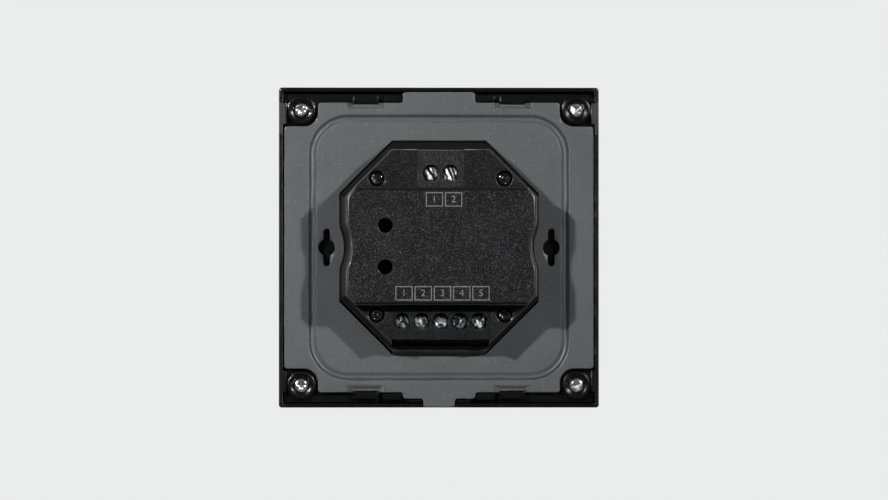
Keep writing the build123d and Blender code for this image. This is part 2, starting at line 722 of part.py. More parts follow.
class TerminalBay:
    """One terminal block on its edge of the housing, with its screws, cages and contacts."""

    def __init__(self, poles, width, outer, sign, screw_setback, slot_turns):
        self.poles = poles
        self.width = width
        self.outer = outer
        self.sign = sign
        self.screw_setback = screw_setback
        self.slot_turns = slot_turns

    def z(self, setback):
        """Height of a line that lies a distance in from the block's wire face."""
        return self.sign * (self.outer - setback)

    def span(self, near, far):
        """The two heights, lower first, of a stretch given from the wire face."""
        return sorted((self.z(near), self.z(far)))

    def pole_places(self):
        """Middle of each pole along X."""
        middle = (self.poles - 1) / 2
        return [(index - middle) * POLE_PITCH for index in range(self.poles)]

    def leg_z(self):
        """Height of the contacts' legs, behind the cages."""
        return self.z(self.screw_setback + LEG_SETBACK + BAR_T / 2)

    def body(self):
        """Moulded block with a screw pocket, a cage cavity and a wire mouth for each pole."""
        half = self.width / 2
        depth = self.outer - FACE_H / 2 - FIT
        body = block(-half, half, BOARD_REAR, DECK_D, *self.span(0, depth))
        cavity_half = (POLE_PITCH - POLE_WALL) / 2
        near = self.screw_setback - CAGE_L / 2 - CAGE_FIT
        far = self.screw_setback + CAGE_L / 2 + CAGE_FIT
        leg_near = self.screw_setback + LEG_SETBACK
        mouth_low = CAGE_REST + CAGE_WALL
        for x in self.pole_places():
            screw_z = self.z(self.screw_setback)
            body -= rod(x, screw_z, SCREW_POCKET_R, TERM_SEAT, DECK_D)
            body -= rod(x, screw_z, TERM_SHANK_D / 2 + SCREW_FIT, CAVITY_TOP, TERM_SEAT)
            cavity = (x - cavity_half, x + cavity_half, CAVITY_BOTTOM, CAVITY_TOP)
            body -= block(*cavity, *self.span(near, far))
            mouth = (x - MOUTH_W / 2, x + MOUTH_W / 2, mouth_low, mouth_low + MOUTH_H)
            body -= block(*mouth, *self.span(0, near))
            bar = (x - BAR_W / 2, x + BAR_W / 2, BAR_FRONT, BAR_REAR)
            body -= block(*bar, *self.span(far, leg_near + BAR_T))
            leg = (x - BAR_W / 2, x + BAR_W / 2, BOARD_REAR, BAR_FRONT)
            body -= block(*leg, *self.span(leg_near, leg_near + BAR_T))
        return body

    def screw(self, index):
        """Slotted clamping screw, which turns in its pocket."""
        x, z = self.pole_places()[index], self.z(self.screw_setback)
        head = rod(x, z, TERM_HEAD_D / 2, TERM_SEAT, TERM_SEAT + TERM_HEAD_H)
        head = chamfer(head.edges().sort_by(Axis.Y)[-1], TERM_HEAD_BEVEL)
        slot = Pos(x, z) * Rot(0, 0, self.slot_turns[index]) * Rectangle(TERM_SLOT_W, TERM_HEAD_D)
        slot_floor = TERM_SEAT + TERM_HEAD_H - TERM_SLOT_D
        head -= slab(slot, slot_floor, TERM_SEAT + TERM_HEAD_H)
        return head + rod(x, z, TERM_SHANK_D / 2, BAR_REAR + THREAD_FIT, TERM_SEAT)

    def cage(self, index):
        """Square clamp that rises on the screw and pulls the wire against the contact."""
        x, z = self.pole_places()[index], self.z(self.screw_setback)
        half = (POLE_PITCH - POLE_WALL) / 2 - CAGE_FIT
        z_pair = (z - CAGE_L / 2, z + CAGE_L / 2)
        cage = block(x - half, x + half, CAGE_REST, CAGE_REST + CAGE_H, *z_pair)
        inner = half - CAGE_WALL
        inner_top = CAGE_REST + CAGE_H - CAGE_TOP_WALL
        cage -= block(x - inner, x + inner, CAGE_REST + CAGE_WALL, inner_top, *z_pair)
        hole_r = TERM_SHANK_D / 2 + THREAD_FIT
        return cage - rod(x, z, hole_r, inner_top, CAGE_REST + CAGE_H)

    def contact(self, index):
        """Contact bar through the cage, with a leg and a pin into the power board."""
        x = self.pole_places()[index]
        near = self.screw_setback - BAR_OVERHANG
        leg_near = self.screw_setback + LEG_SETBACK
        leg_far = leg_near + BAR_T
        bar_x = (x - BAR_W / 2, x + BAR_W / 2)
        contact = block(*bar_x, BAR_FRONT, BAR_REAR, *self.span(near, leg_far))
        contact += block(*bar_x, BOARD_REAR, BAR_FRONT, *self.span(leg_near, leg_far))
        pin_x = (x - PIN_W / 2, x + PIN_W / 2)
        pin_end = BOARD_FRONT - PIN_STICKOUT
        return contact + block(*pin_x, pin_end, BOARD_REAR, *self.span(leg_near, leg_far))


INPUT_BAY = TerminalBay(
    INPUT_POLES, INPUT_W, DECK_TOP - FIT, 1, INPUT_SCREW_SETBACK, INPUT_SLOT_TURNS
)
OUTPUT_BAY = TerminalBay(
    OUTPUT_POLES, OUTPUT_W, DECK_BOTTOM, -1, OUTPUT_SCREW_SETBACK, OUTPUT_SLOT_TURNS
)


# Supply parts


def board_part(place, size):
    """Box-shaped part on the power board, with its upright edges rounded."""
    width, height, length = size
    outline = RectangleRounded(width, length, PART_ROUND)
    return slab(Pos(*place) * outline, BOARD_REAR, BOARD_REAR + height)


def can(place, diameter, height):
    """Round can capacitor standing on the power board."""
    body = rod(*place, diameter / 2, BOARD_REAR, BOARD_REAR + height)
    return fillet(body.edges().filter_by(GeomType.CIRCLE), CAP_ROUND)


def core_place():
    """Centre of the transformer and the depth of its lower yoke."""
    x, z = TRANSFORMER_POS
    return x, z, BOARD_REAR + CORE_LIFT


def transformer_core():
    """Ferrite core with two windows and a middle leg."""
    x, z, low = core_place()
    window = (CORE_W - 2 * CORE_LEG - CORE_MIDDLE) / 2
    z_pair = (z - CORE_L / 2, z + CORE_L / 2)
    core = block(x - CORE_W / 2, x + CORE_W / 2, low, low + CORE_H, *z_pair)
    for side in (1, -1):
        x_pair = sorted((x + side * CORE_MIDDLE / 2, x + side * (CORE_MIDDLE / 2 + window)))
        core -= block(*x_pair, low + CORE_YOKE, low + CORE_H - CORE_YOKE, *z_pair)
    return core


def transformer_coil():
    """Winding on its former, between the yokes, on two pin blocks."""
    x, z, low = core_place()
    inner_x = CORE_MIDDLE / 2 + COIL_FIT
    inner_z = CORE_L / 2 + COIL_FIT
    outer_x, outer_z = inner_x + COIL_WALL, inner_z + COIL_WALL
    y_pair = (low + CORE_YOKE, low + CORE_H - CORE_YOKE)
    coil = block(x - outer_x, x + outer_x, *y_pair, z - outer_z, z + outer_z)
    coil -= block(x - inner_x, x + inner_x, *y_pair, z - inner_z, z + inner_z)
    for side in (1, -1):
        z_pair = sorted((z + side * inner_z, z + side * outer_z))
        coil += block(x - outer_x, x + outer_x, BOARD_REAR, low + CORE_YOKE, *z_pair)
    return coil


def varistor():
    """Coated disc standing on its foot."""
    x, z = VARISTOR_POS
    centre_y = BOARD_REAR + VARISTOR_FOOT + VARISTOR_D / 2
    face = Plane(origin=(x, centre_y, z - VARISTOR_T / 2), x_dir=(1, 0, 0), z_dir=(0, 0, 1))
    disc = extrude(face * Circle(VARISTOR_D / 2), amount=VARISTOR_T)
    foot = block(
        x - VARISTOR_D / 4, x + VARISTOR_D / 4, BOARD_REAR, centre_y,
        z - VARISTOR_T / 2, z + VARISTOR_T / 2,
    )
    return disc + foot


def all_parts():
    """Every node's name and solid."""
    parts = {
        "glass_panel": glass_panel(),
        "bond_tape": bond_tape(),
        "front_frame": front_frame(),
        "rear_tray": rear_tray(),
        "corner_screws": corner_screws(),
        "touch_board": touch_board(),
        "touch_chip": touch_part(TOUCH_CHIP_POS, TOUCH_CHIP_W, TOUCH_CHIP_W, TOUCH_CHIP_T),
        "radio_chip": touch_part(RADIO_CHIP_POS, RADIO_CHIP_W, RADIO_CHIP_W, RADIO_CHIP_T),
        "link_socket": link_socket(),
        "mounting_plate": mounting_plate(),
        "rear_housing": rear_housing(),
        "housing_screws": housing_screws(),
        "insulating_sheet": insulating_sheet(),
        "power_board": power_board(),
        "link_header": link_header(),
        "link_pins": link_pins(),
        "transformer_core": transformer_core(),
        "transformer_coil": transformer_coil(),
        "bulk_capacitor": can(BULK_CAP_POS, BULK_CAP_D, BULK_CAP_H),
        "output_capacitor": can(OUTPUT_CAP_POS, OUTPUT_CAP_D, OUTPUT_CAP_H),
        "film_capacitor": board_part(FILM_CAP_POS, FILM_CAP_SIZE),
        "varistor": varistor(),
        "fuse": board_part(FUSE_POS, FUSE_SIZE),
        "rectifier_chip": board_part(RECTIFIER_POS, RECTIFIER_SIZE),
        "control_chip": board_part(CONTROL_POS, CONTROL_SIZE),
        "optocoupler": board_part(COUPLER_POS, COUPLER_SIZE),
        "line_driver": board_part(DRIVER_POS, DRIVER_SIZE),
    }
    for index, place in enumerate(led_places(), start=1):
        parts[f"indicator_led_{index}"] = touch_part(place, LED_W, LED_H, LED_T)
    for name, bay in (("input", INPUT_BAY), ("output", OUTPUT_BAY)):
        parts[f"{name}_terminal"] = bay.body()
        for index in range(bay.poles):
            parts[f"{name}_screw_{index + 1}"] = bay.screw(index)
            parts[f"{name}_cage_{index + 1}"] = bay.cage(index)
            parts[f"{name}_contact_{index + 1}"] = bay.contact(index)
    return parts


os.makedirs("parts", exist_ok=True)
for node, solid in all_parts().items():
    export_step(solid, f"parts/{node}.step")
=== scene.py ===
"""Dresses the touch control panel and lights it as a studio shot of its rear side."""

import json
import logging
import math
from contextlib import contextmanager
from dataclasses import dataclass, field
from enum import Enum, IntEnum
from typing import Callable, Iterable, Iterator, Optional, Sequence

import bpy
from mathutils import Matrix, Vector

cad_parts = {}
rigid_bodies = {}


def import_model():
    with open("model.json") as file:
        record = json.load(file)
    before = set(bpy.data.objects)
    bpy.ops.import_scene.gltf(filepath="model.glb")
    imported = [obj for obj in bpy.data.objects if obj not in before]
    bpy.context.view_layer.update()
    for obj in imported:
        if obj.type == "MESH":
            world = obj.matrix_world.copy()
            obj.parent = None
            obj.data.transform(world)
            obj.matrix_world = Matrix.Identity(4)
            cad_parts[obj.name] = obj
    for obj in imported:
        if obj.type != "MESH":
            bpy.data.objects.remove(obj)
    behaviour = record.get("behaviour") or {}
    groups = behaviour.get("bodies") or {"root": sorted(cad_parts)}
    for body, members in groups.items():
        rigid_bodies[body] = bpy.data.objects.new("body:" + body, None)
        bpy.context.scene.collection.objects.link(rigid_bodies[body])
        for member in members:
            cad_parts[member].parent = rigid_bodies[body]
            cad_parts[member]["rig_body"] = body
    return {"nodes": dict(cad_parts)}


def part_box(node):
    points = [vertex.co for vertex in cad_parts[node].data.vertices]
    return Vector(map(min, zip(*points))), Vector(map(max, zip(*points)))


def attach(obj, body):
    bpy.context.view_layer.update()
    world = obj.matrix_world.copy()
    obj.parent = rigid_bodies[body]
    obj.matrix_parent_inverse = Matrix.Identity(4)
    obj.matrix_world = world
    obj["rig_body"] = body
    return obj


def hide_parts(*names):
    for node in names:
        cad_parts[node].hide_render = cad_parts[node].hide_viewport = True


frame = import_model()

Colour = tuple[float, float, float]
Point = tuple[float, float, float]
Piece = bpy.types.Object
Material = bpy.types.Material
Node = bpy.types.Node
Socket = bpy.types.NodeSocket

LOG = logging.getLogger("touch_panel")
MM = 0.001
NEAR = 0.02 * MM  # measures closer than this count as one
SHARP = 40.0  # degrees
FLAT_TURN = 0.985  # the least share of +Y in a flat rear face's normal
WALL_TURN = 0.25  # the largest share of +Y in a wall's normal


class Facing(Enum):
    """Which side of the panel a flat print is read from, and the turn that lays it there."""

    WALL_BOX = ((-1, 0, 0, 0), (0, 0, 1, 0), (0, 1, 0, 0), (0, 0, 0, 1))
    ROOM = ((1, 0, 0, 0), (0, 0, -1, 0), (0, 1, 0, 0), (0, 0, 0, 1))


class Zone(IntEnum):
    """The parts of a moulding's surface, each with a finish of its own."""

    FACE = 0
    WALL = 1
    EDGE = 2
    LEDGE = 3
    CROWN = 4
    FLANK = 5
    SIDE = 6
    SILL = 7
    DECK = 8
    SLOT = 9


class Bench:
    """Modelling operators, run on one piece at a time."""

    FLAT = 0.6  # degrees
    SMOOTH = 38.0  # degrees
    DOUBLE = 2e-6

    @staticmethod
    def pick(obj: Piece) -> Piece:
        """Selects one object alone and makes it active.

        Args:
            obj: The object to work on.

        Returns:
            The same object.
        """
        if bpy.context.object and bpy.context.object.mode != "OBJECT":
            bpy.ops.object.mode_set(mode="OBJECT")
        bpy.ops.object.select_all(action="DESELECT")
        obj.select_set(True)
        bpy.context.view_layer.objects.active = obj
        return obj

    @staticmethod
    @contextmanager
    def editing(
        obj: Piece, mode: str = "VERT", select: Optional[str] = "SELECT"
    ) -> Iterator[None]:
        """Opens a piece in edit mode for the operators of a with block.

        Args:
            obj: The piece.
            mode: What is selected: VERT, EDGE or FACE.
            select: SELECT or DESELECT for the whole mesh, or None to keep what is selected.

        Yields:
            Nothing.
        """
        Bench.pick(obj)
        bpy.ops.object.mode_set(mode="EDIT")
        if select:
            bpy.ops.mesh.select_mode(type=mode)
            bpy.ops.mesh.select_all(action=select)
        yield
        bpy.ops.object.mode_set(mode="OBJECT")

    @staticmethod
    def copy_node(node: str, piece: str) -> Piece:
        """Copies a CAD node into a new piece with a mesh of its own.

        Args:
            node: The CAD node's name.
            piece: The new piece's name.

        Returns:
            The new piece, at the origin and riding on nothing yet.
        """
        mesh = frame["nodes"][node].data.copy()
        mesh.name = piece
        obj = bpy.data.objects.new(piece, mesh)
        bpy.context.scene.collection.objects.link(obj)
        obj.data.materials.clear()
        return obj

    @staticmethod
    def merge_flat(obj: Piece) -> None:
        """Joins a copied mesh's loose triangles into flat faces, cut again into even triangles.

        Args:
            obj: The copied piece.
        """
        Bench.pick(obj)
        if obj.data.has_custom_normals:
            bpy.ops.mesh.customdata_custom_splitnormals_clear()
        flat = math.radians(Bench.FLAT)
        with Bench.editing(obj):
            bpy.ops.mesh.remove_doubles(threshold=Bench.DOUBLE)
            bpy.ops.mesh.dissolve_limited(angle_limit=flat)
            bpy.ops.mesh.quads_convert_to_tris(quad_method="BEAUTY", ngon_method="BEAUTY")
            bpy.ops.mesh.beautify_fill(angle_limit=flat)

    @staticmethod
    def soften(obj: Piece, width: float, segments: int = 2, angle: float = SHARP) -> None:
        """Rounds the sharp edges by a small radius and keeps the flats flat.

        Args:
            obj: The piece.
            width: The bevel's width in metres.
            segments: The number of faces across the round.
            angle: Edges sharper than this, in degrees, are rounded.
        """
        Bench.pick(obj)
        bevel = obj.modifiers.new("edge_round", "BEVEL")
        bevel.width = width
        bevel.segments = segments
        bevel.limit_method = "ANGLE"
        bevel.angle_limit = math.radians(angle)
        bevel.use_clamp_overlap = False
        bevel.loop_slide = False
        bevel.miter_outer = "MITER_ARC"
        bpy.ops.object.modifier_apply(modifier=bevel.name)
        bpy.ops.object.shade_smooth_by_angle(angle=math.radians(Bench.SMOOTH))
        weight = obj.modifiers.new("flat_weight", "WEIGHTED_NORMAL")
        weight.keep_sharp = True
        bpy.ops.object.modifier_apply(modifier=weight.name)

    @staticmethod
    def dressed_copy(
        node: str,
        piece: str,
        width: float,
        segments: int = 2,
        angle: float = SHARP,
        shape: Optional[Callable[[Piece], None]] = None,
    ) -> Piece:
        """Makes a piece that stands for a CAD node, with rounded edges.

        Args:
            node: The CAD node's name.
            piece: The new piece's name.
            width: The round's width in metres.
            segments: The number of faces across the round.
            angle: Edges sharper than this, in degrees, are rounded.
            shape: A further cut, made before the edges are rounded.

        Returns:
            The finished mesh piece, riding on the node's body.
        """
        obj = Bench.copy_node(node, piece)
        Bench.merge_flat(obj)
        if shape:
            shape(obj)
        Bench.soften(obj, width, segments, angle)
        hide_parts(node)
        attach(obj, frame["nodes"][node]["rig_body"])
        return obj

    @staticmethod
    def ease(
        obj: Piece,
        chosen: Callable[[Vector, Vector], bool],
        width: float,
        segments: int = 1,
        sharp: float = 1.0,
    ) -> None:
        """Takes a chamfer or a round off chosen edges.

        Args:
            obj: The piece, in object mode.
            chosen: Says from an edge's two ends whether it is taken off.
            width: The chamfer's width in metres.
            segments: The number of faces across it.
            sharp: Only edges sharper than this, in degrees, are taken off.
        """
        with Bench.editing(obj, "EDGE", "DESELECT"):
            bpy.ops.mesh.edges_select_sharp(sharpness=math.radians(sharp))
        points = obj.data.vertices
        for edge in obj.data.edges:
            edge.select = edge.select and chosen(*(points[index].co for index in edge.vertices))
        for element in (*points, *obj.data.polygons):
            element.select = False
        with Bench.editing(obj, select=None):
            bpy.ops.mesh.bevel(
                offset=width, segments=segments, loop_slide=False, miter_outer="ARC"
            )

    @staticmethod
    def join(parts: Sequence[Piece], piece: str) -> Piece:
        """Joins several meshes into one piece.

        Args:
            parts: The mesh objects.
            piece: The joined piece's name.

        Returns:
            The joined piece.
        """
        joined = Bench.pick(parts[0])
        for part in parts[1:]:
            part.select_set(True)
        bpy.ops.object.join()
        joined.name = piece
        joined.data.name = piece
        return joined

    @staticmethod
    def settle(obj: Piece) -> Piece:
        """Moves an object's place into its mesh, so that it sits at the origin.

        Args:
            obj: The object.

        Returns:
            The same object.
        """
        Bench.pick(obj)
        bpy.ops.object.transform_apply(location=True, rotation=True, scale=True)
        return obj


class Printer:
    """Thin printed marks: box outlines, rings and plain numerals."""

    INK = 0.02 * MM
    DOUBLE = 1e-6
    CURVE_STEPS = 6

    @staticmethod
    def lay(obj: Piece, facing: Facing, place: Point) -> Piece:
        """Gives a flat drawn mesh its ink thickness and lays it in place.

        Args:
            obj: A flat mesh in the XY plane, facing +Z.
            facing: The side that the mark is read from.
            place: The point of the face where the mark's origin goes.

        Returns:
            The placed mark.
        """
        with Bench.editing(obj):
            bpy.ops.mesh.extrude_region_move(TRANSFORM_OT_translate={"value": (0, 0, Printer.INK)})
            bpy.ops.mesh.select_all(action="SELECT")
            bpy.ops.mesh.normals_make_consistent(inside=False)
        obj.matrix_world = Matrix.Translation(place) @ Matrix(facing.value)
        return Bench.settle(obj)

    @staticmethod
    def hollow(obj: Piece, line: float) -> Piece:
        """Leaves only a line along the rim of a flat face.

        Args:
            obj: A flat mesh of one face.
            line: The line's width in metres.

        Returns:
            The same mesh.
        """
        with Bench.editing(obj, "FACE"):
            bpy.ops.mesh.inset(thickness=line, depth=0.0)
            bpy.ops.mesh.delete(type="FACE")
        return obj

    @staticmethod
    def outline(width: float, height: float, line: float) -> Piece:
        """Draws a box outline.

        Args:
            width: The outline's outer width in metres.
            height: The outline's outer height in metres.
            line: The line's width in metres.

        Returns:
            A flat mesh in the XY plane, centred on the origin.
        """
        bpy.ops.object.select_all(action="DESELECT")
        bpy.ops.mesh.primitive_plane_add(size=1.0)
        obj = bpy.context.object
        with Bench.editing(obj):
            bpy.ops.transform.resize(value=(width, height, 1.0))
        return Printer.hollow(obj, line)

    @staticmethod
    def ring(radius: float, line: float, turns: int = 96) -> Piece:
        """Draws a thin ring.

        Args:
            radius: The ring's outer radius in metres.
            line: The line's width in metres.
            turns: The number of straight pieces round the ring.

        Returns:
            A flat mesh in the XY plane, centred on the origin.
        """
        bpy.ops.object.select_all(action="DESELECT")
        bpy.ops.mesh.primitive_circle_add(vertices=turns, radius=radius, fill_type="NGON")
        return Printer.hollow(bpy.context.object, line)

    @staticmethod
    def numeral(text: str, height: float) -> Piece:
        """Draws one plain numeral.

        Args:
            text: The numeral.
            height: The letter size in metres.

        Returns:
            A flat mesh in the XY plane, centred on the origin.
        """
        bpy.ops.object.select_all(action="DESELECT")
        bpy.ops.object.text_add()
        letter = bpy.context.object.data
        letter.body = text
        letter.size = height
        letter.align_x = "CENTER"
        letter.align_y = "CENTER"
        letter.resolution_u = Printer.CURVE_STEPS
        bpy.ops.object.convert(target="MESH")
        obj = bpy.context.object
        with Bench.editing(obj):
            bpy.ops.mesh.remove_doubles(threshold=Printer.DOUBLE)
        return obj


class NodeBoard:
    """A node tree, built node by node."""

    def __init__(self, tree: bpy.types.NodeTree) -> None:
        """Starts with the emptied tree of a material or a world."""
        self.tree = tree
        tree.nodes.clear()

    def add(self, kind: str, values: Optional[dict] = None, **settings: object) -> Node:
        """Adds a node, sets its properties and feeds its inputs.

        Args:
            kind: The node's type name, without the prefix that all of them share.
            values: What its named or numbered inputs are given.
            settings: Property values.

        Returns:
            The new node.
        """
        node = self.tree.nodes.new(f"ShaderNode{kind}")
        for key, value in settings.items():
            setattr(node, key, value)
        for socket, value in (values or {}).items():
            self.feed(node, socket, value)
        return node

    def feed(self, node: Node, socket: object, value: object) -> None:
        """Gives an input a node's output, a number, a vector or a written colour.

        Args:
            node: The node.
            socket: The input's name or number.
            value: What it is given; a tuple is a colour.
        """
        if isinstance(value, Socket):
            self.tree.links.new(value, node.inputs[socket])
        else:
            colour = isinstance(value, tuple)
            node.inputs[socket].default_value = (*value, 1.0) if colour else value

    def split(self, source: Socket, axis: str) -> Socket:
        """Picks one axis, X, Y or Z, of a vector."""
        return self.add("SeparateXYZ", {0: source}).outputs[axis]

    def span(
        self,
        source: Socket,
        low: float,
        high: float,
        to_low: float = 0.0,
        to_high: float = 1.0,
        **kind: str,
    ) -> Socket:
        """Maps one range of values to another, clamped; kind may set the interpolation."""
        values = dict(enumerate((source, low, high, to_low, to_high)))
        return self.add("MapRange", values, **kind).outputs[0]

    def math(self, kind: str, a: object, b: object = 0.0) -> Socket:
        """Adds a math operation on outputs or numbers."""
        return self.add("Math", {0: a, 1: b}, operation=kind).outputs[0]

    def blend(self, factor: Socket, a: object, b: object) -> Socket:
        """Blends two colours, each an output or a written one, by the second one's share."""
        return self.add("Mix", {0: factor, 6: a, 7: b}, data_type="RGBA").outputs[2]

    def between(self, factor: Socket, a: object, b: object) -> Socket:
        """Blends two values, each an output or a number, by the second one's share."""
        return self.add("Mix", {0: factor, 2: a, 3: b}, data_type="FLOAT").outputs[0]

    def shaders(self, factor: Socket, a: Node, b: Node) -> Node:
        """Mixes two shaders by the second one's share."""
        return self.add("MixShader", {0: factor, 1: a.outputs[0], 2: b.outputs[0]})


class Sheet(NodeBoard):
    """A material's node tree, with its shader and the piece's own coordinates."""

    def __init__(self, name: str) -> None:
        """Starts a material with a Principled shader.

        Args:
            name: The material's name.
        """
        self.material = bpy.data.materials.new(name)
        self.material.use_nodes = True
        super().__init__(self.material.node_tree)
        self.shader = self.add("BsdfPrincipled")
        self.output = self.add("OutputMaterial", {0: self.shader.outputs[0]})
        self.coords = self.add("TexCoord").outputs

    def set(self, **values: object) -> None:
        """Feeds the shader's own inputs; underscores stand for spaces."""
        for key, value in values.items():
            self.feed(self.shader, key.replace("_", " "), value)

    def noise(
        self,
        size: float,
        detail: float = 2.0,
        rough: float = 0.5,
        stretch: Point = (1.0, 1.0, 1.0),
        turn: float = 0.0,
    ) -> Socket:
        """Adds noise on Object coordinates.

        Args:
            size: The size of one grain in metres.
            detail: The number of finer layers.
            rough: The share of each finer layer.
            stretch: How many grains fit along each axis, relative to one another.
            turn: The angle, in degrees, by which the axes are turned about Y.

        Returns:
            The noise's factor output.
        """
        axes = {
            "Vector": self.coords["Object"],
            "Rotation": Vector((0.0, math.radians(turn), 0.0)),
            "Scale": Vector([size / share for share in stretch]),
        }
        place = self.add("Mapping", axes, vector_type="TEXTURE").outputs[0]
        values = {"Vector": place, "Scale": 1.0, "Detail": detail, "Roughness": rough}
        return self.add("TexNoise", values, noise_dimensions="3D").outputs["Fac"]

    def grains(self, size: float) -> Socket:
        """Adds cell grains, each with a chance value of its own.

        Args:
            size: The size of one grain in metres.

        Returns:
            The grains' value output.
        """
        values = {"Vector": self.coords["Object"], "Scale": 1.0 / size}
        cells = self.add("TexVoronoi", values, feature="F1").outputs["Color"]
        return self.add("SeparateColor", {0: cells}).outputs[0]

    def ramp(
        self, source: Socket, start: Colour, end: Colour, low: float = 0.3, high: float = 0.72
    ) -> Socket:
        """Adds a colour ramp of two stops.

        Args:
            source: The driving output.
            start: The colour of low values.
            end: The colour of high values.
            low: The value up to which the first colour holds.
            high: The value from which the second colour holds.

        Returns:
            The ramp's colour output.
        """
        node = self.add("ValToRGB", {0: source})
        stops = ((low, start), (high, end))
        for element, (place, colour) in zip(node.color_ramp.elements, stops):
            element.position = place
            element.color = (*colour, 1.0)
        return node.outputs[0]

    def along(self, coordinate: str, axis: str) -> Socket:
        """Picks one axis of the piece's own Object or Normal coordinate."""
        return self.split(self.coords[coordinate], axis)

    def bump(self, height: Socket, depth: float, strength: float) -> None:
        """Gives the shader a bump of a depth in metres, of which a share shows."""
        values = {"Height": height, "Distance": depth, "Strength": strength}
        self.set(Normal=self.add("Bump", values).outputs[0])

    def colour(self, source: Socket) -> None:
        """Feeds the shader's base colour."""
        self.set(Base_Color=source)

    def roughness(self, source: Socket) -> None:
        """Feeds the shader's roughness."""
        self.set(Roughness=source)


def tinted(colour: Colour, share: float) -> Colour:
    """Makes a colour lighter or darker by a share of itself."""
    return tuple(channel * share for channel in colour)


@dataclass(frozen=True)
class Finish:
    """A finish that any piece can be dressed in."""

    name: str

    def make(self) -> Material:
        """Builds the finish, or finds it where it is already built.

        Returns:
            The finished material.
        """
        title = f"finish_{self.name}"
        made = bpy.data.materials.get(title)
        if not made:
            sheet = Sheet(title)
            self.paint(sheet)
            made = sheet.material
        return made

    def paint(self, sheet: Sheet) -> None:
        """Fills the node tree; each kind of finish has its own way."""
        raise NotImplementedError


@dataclass(frozen=True)
class Moulded(Finish):
    """A fine matt moulding with a soft mottle and a faint grain."""

    base: Colour
    light: Colour
    grain: float = 0.25 * MM
    rough: tuple[float, float] = (0.42, 0.55)
    specular: float = 0.25
    depth: float = 0.006 * MM
    mottle: float = 6.0 * MM

    def paint(self, sheet: Sheet) -> None:
        """Mottle for colour, grain for roughness and bump.

        Args:
            sheet: The empty material.
        """
        mottle, grain = sheet.noise(self.mottle, 4.0), sheet.noise(self.grain, 3.0)
        halves = (sheet.math("MULTIPLY", noise, 0.5) for noise in (mottle, grain))
        sheet.colour(sheet.ramp(sheet.math("ADD", *halves), self.base, self.light))
        sheet.roughness(sheet.span(grain, 0.25, 0.75, *self.rough))
        sheet.set(Specular_IOR_Level=self.specular)
        sheet.bump(grain, self.depth, 0.6)


@dataclass(frozen=True)
class Sparked(Finish):
    """A spark-textured moulding: fine pits with painted glints on a black ground."""

    base: Colour
    painted_glint: Colour
    grain: float = 0.3 * MM
    cover: float = 0.55
    specular: float = 0.085
    drift: float = 9.0 * MM
    lift: float = 2.2
    depth: float = 0.05 * MM

    def paint(self, sheet: Sheet) -> None:
        """Scattered painted glints, broken by the pits, on a slowly drifting ground.

        Args:
            sheet: The empty material.
        """
        pits = sheet.noise(self.grain, 3.0, 0.65)
        drift = sheet.noise(self.drift, 3.0)
        # Painted glints: pale cells stand for the light that the spark texture's pits catch.
        painted_glints = sheet.span(sheet.grains(self.grain), self.cover, 1.0)
        shown = sheet.math("MULTIPLY", painted_glints, sheet.span(pits, 0.42, 0.6))
        ground = sheet.ramp(drift, self.base, tinted(self.base, self.lift), 0.35)
        sheet.colour(sheet.blend(shown, ground, self.painted_glint))
        sheet.roughness(sheet.span(pits, 0.3, 0.7, 0.74, 0.5))
        sheet.set(Specular_IOR_Level=self.specular)
        sheet.bump(pits, self.depth, 0.6)


@dataclass(frozen=True)
class DraftWall(Finish):
    """A moulding's plain drafted wall, with painted shade darker where it runs down to the plate.
    """

    base: Colour
    foot_shade: Colour
    specular: float = 0.04
    foot_shade_from: float = 0.4 * MM
    foot_shade_to: float = 2.6 * MM
    highlight_line: float = 0.0
    highlight_line_at: float = 7.8 * MM
    highlight_line_half: float = 1.1 * MM
    drift: float = 7.0 * MM
    lift: float = 1.3
    mark: float = 0.5 * MM
    depth: float = 0.01 * MM

    def paint(self, sheet: Sheet) -> None:
        """Faint draw marks along the wall, a foot of painted shade, and a paler line of painted
        highlight.

        Args:
            sheet: The empty material.
        """
        drift = sheet.noise(self.drift, 3.0)
        marks = sheet.noise(self.mark, 2.0, 0.5, (1.0, 0.15, 1.0))
        ground = sheet.ramp(drift, self.base, tinted(self.base, self.lift))
        level = sheet.along("Object", "Y")
        # Painted shade: the wall is darkened towards its foot, where it meets the plate.
        height = sheet.span(level, self.foot_shade_from, self.foot_shade_to)
        wall = sheet.blend(height, self.foot_shade, ground)
        # Painted highlight: an optional paler line across the wall at one height.
        if self.highlight_line:
            away = sheet.math("ABSOLUTE", sheet.math("SUBTRACT", level, self.highlight_line_at))
            near = sheet.span(away, self.highlight_line_half * 0.5, self.highlight_line_half, 1.0, 0.0)
            wall = sheet.blend(near, wall, (self.highlight_line,) * 3)
        sheet.colour(wall)
        sheet.roughness(sheet.span(marks, 0.3, 0.7, 0.6, 0.75))
        sheet.set(Specular_IOR_Level=self.specular)
        sheet.bump(marks, self.depth, 0.5)


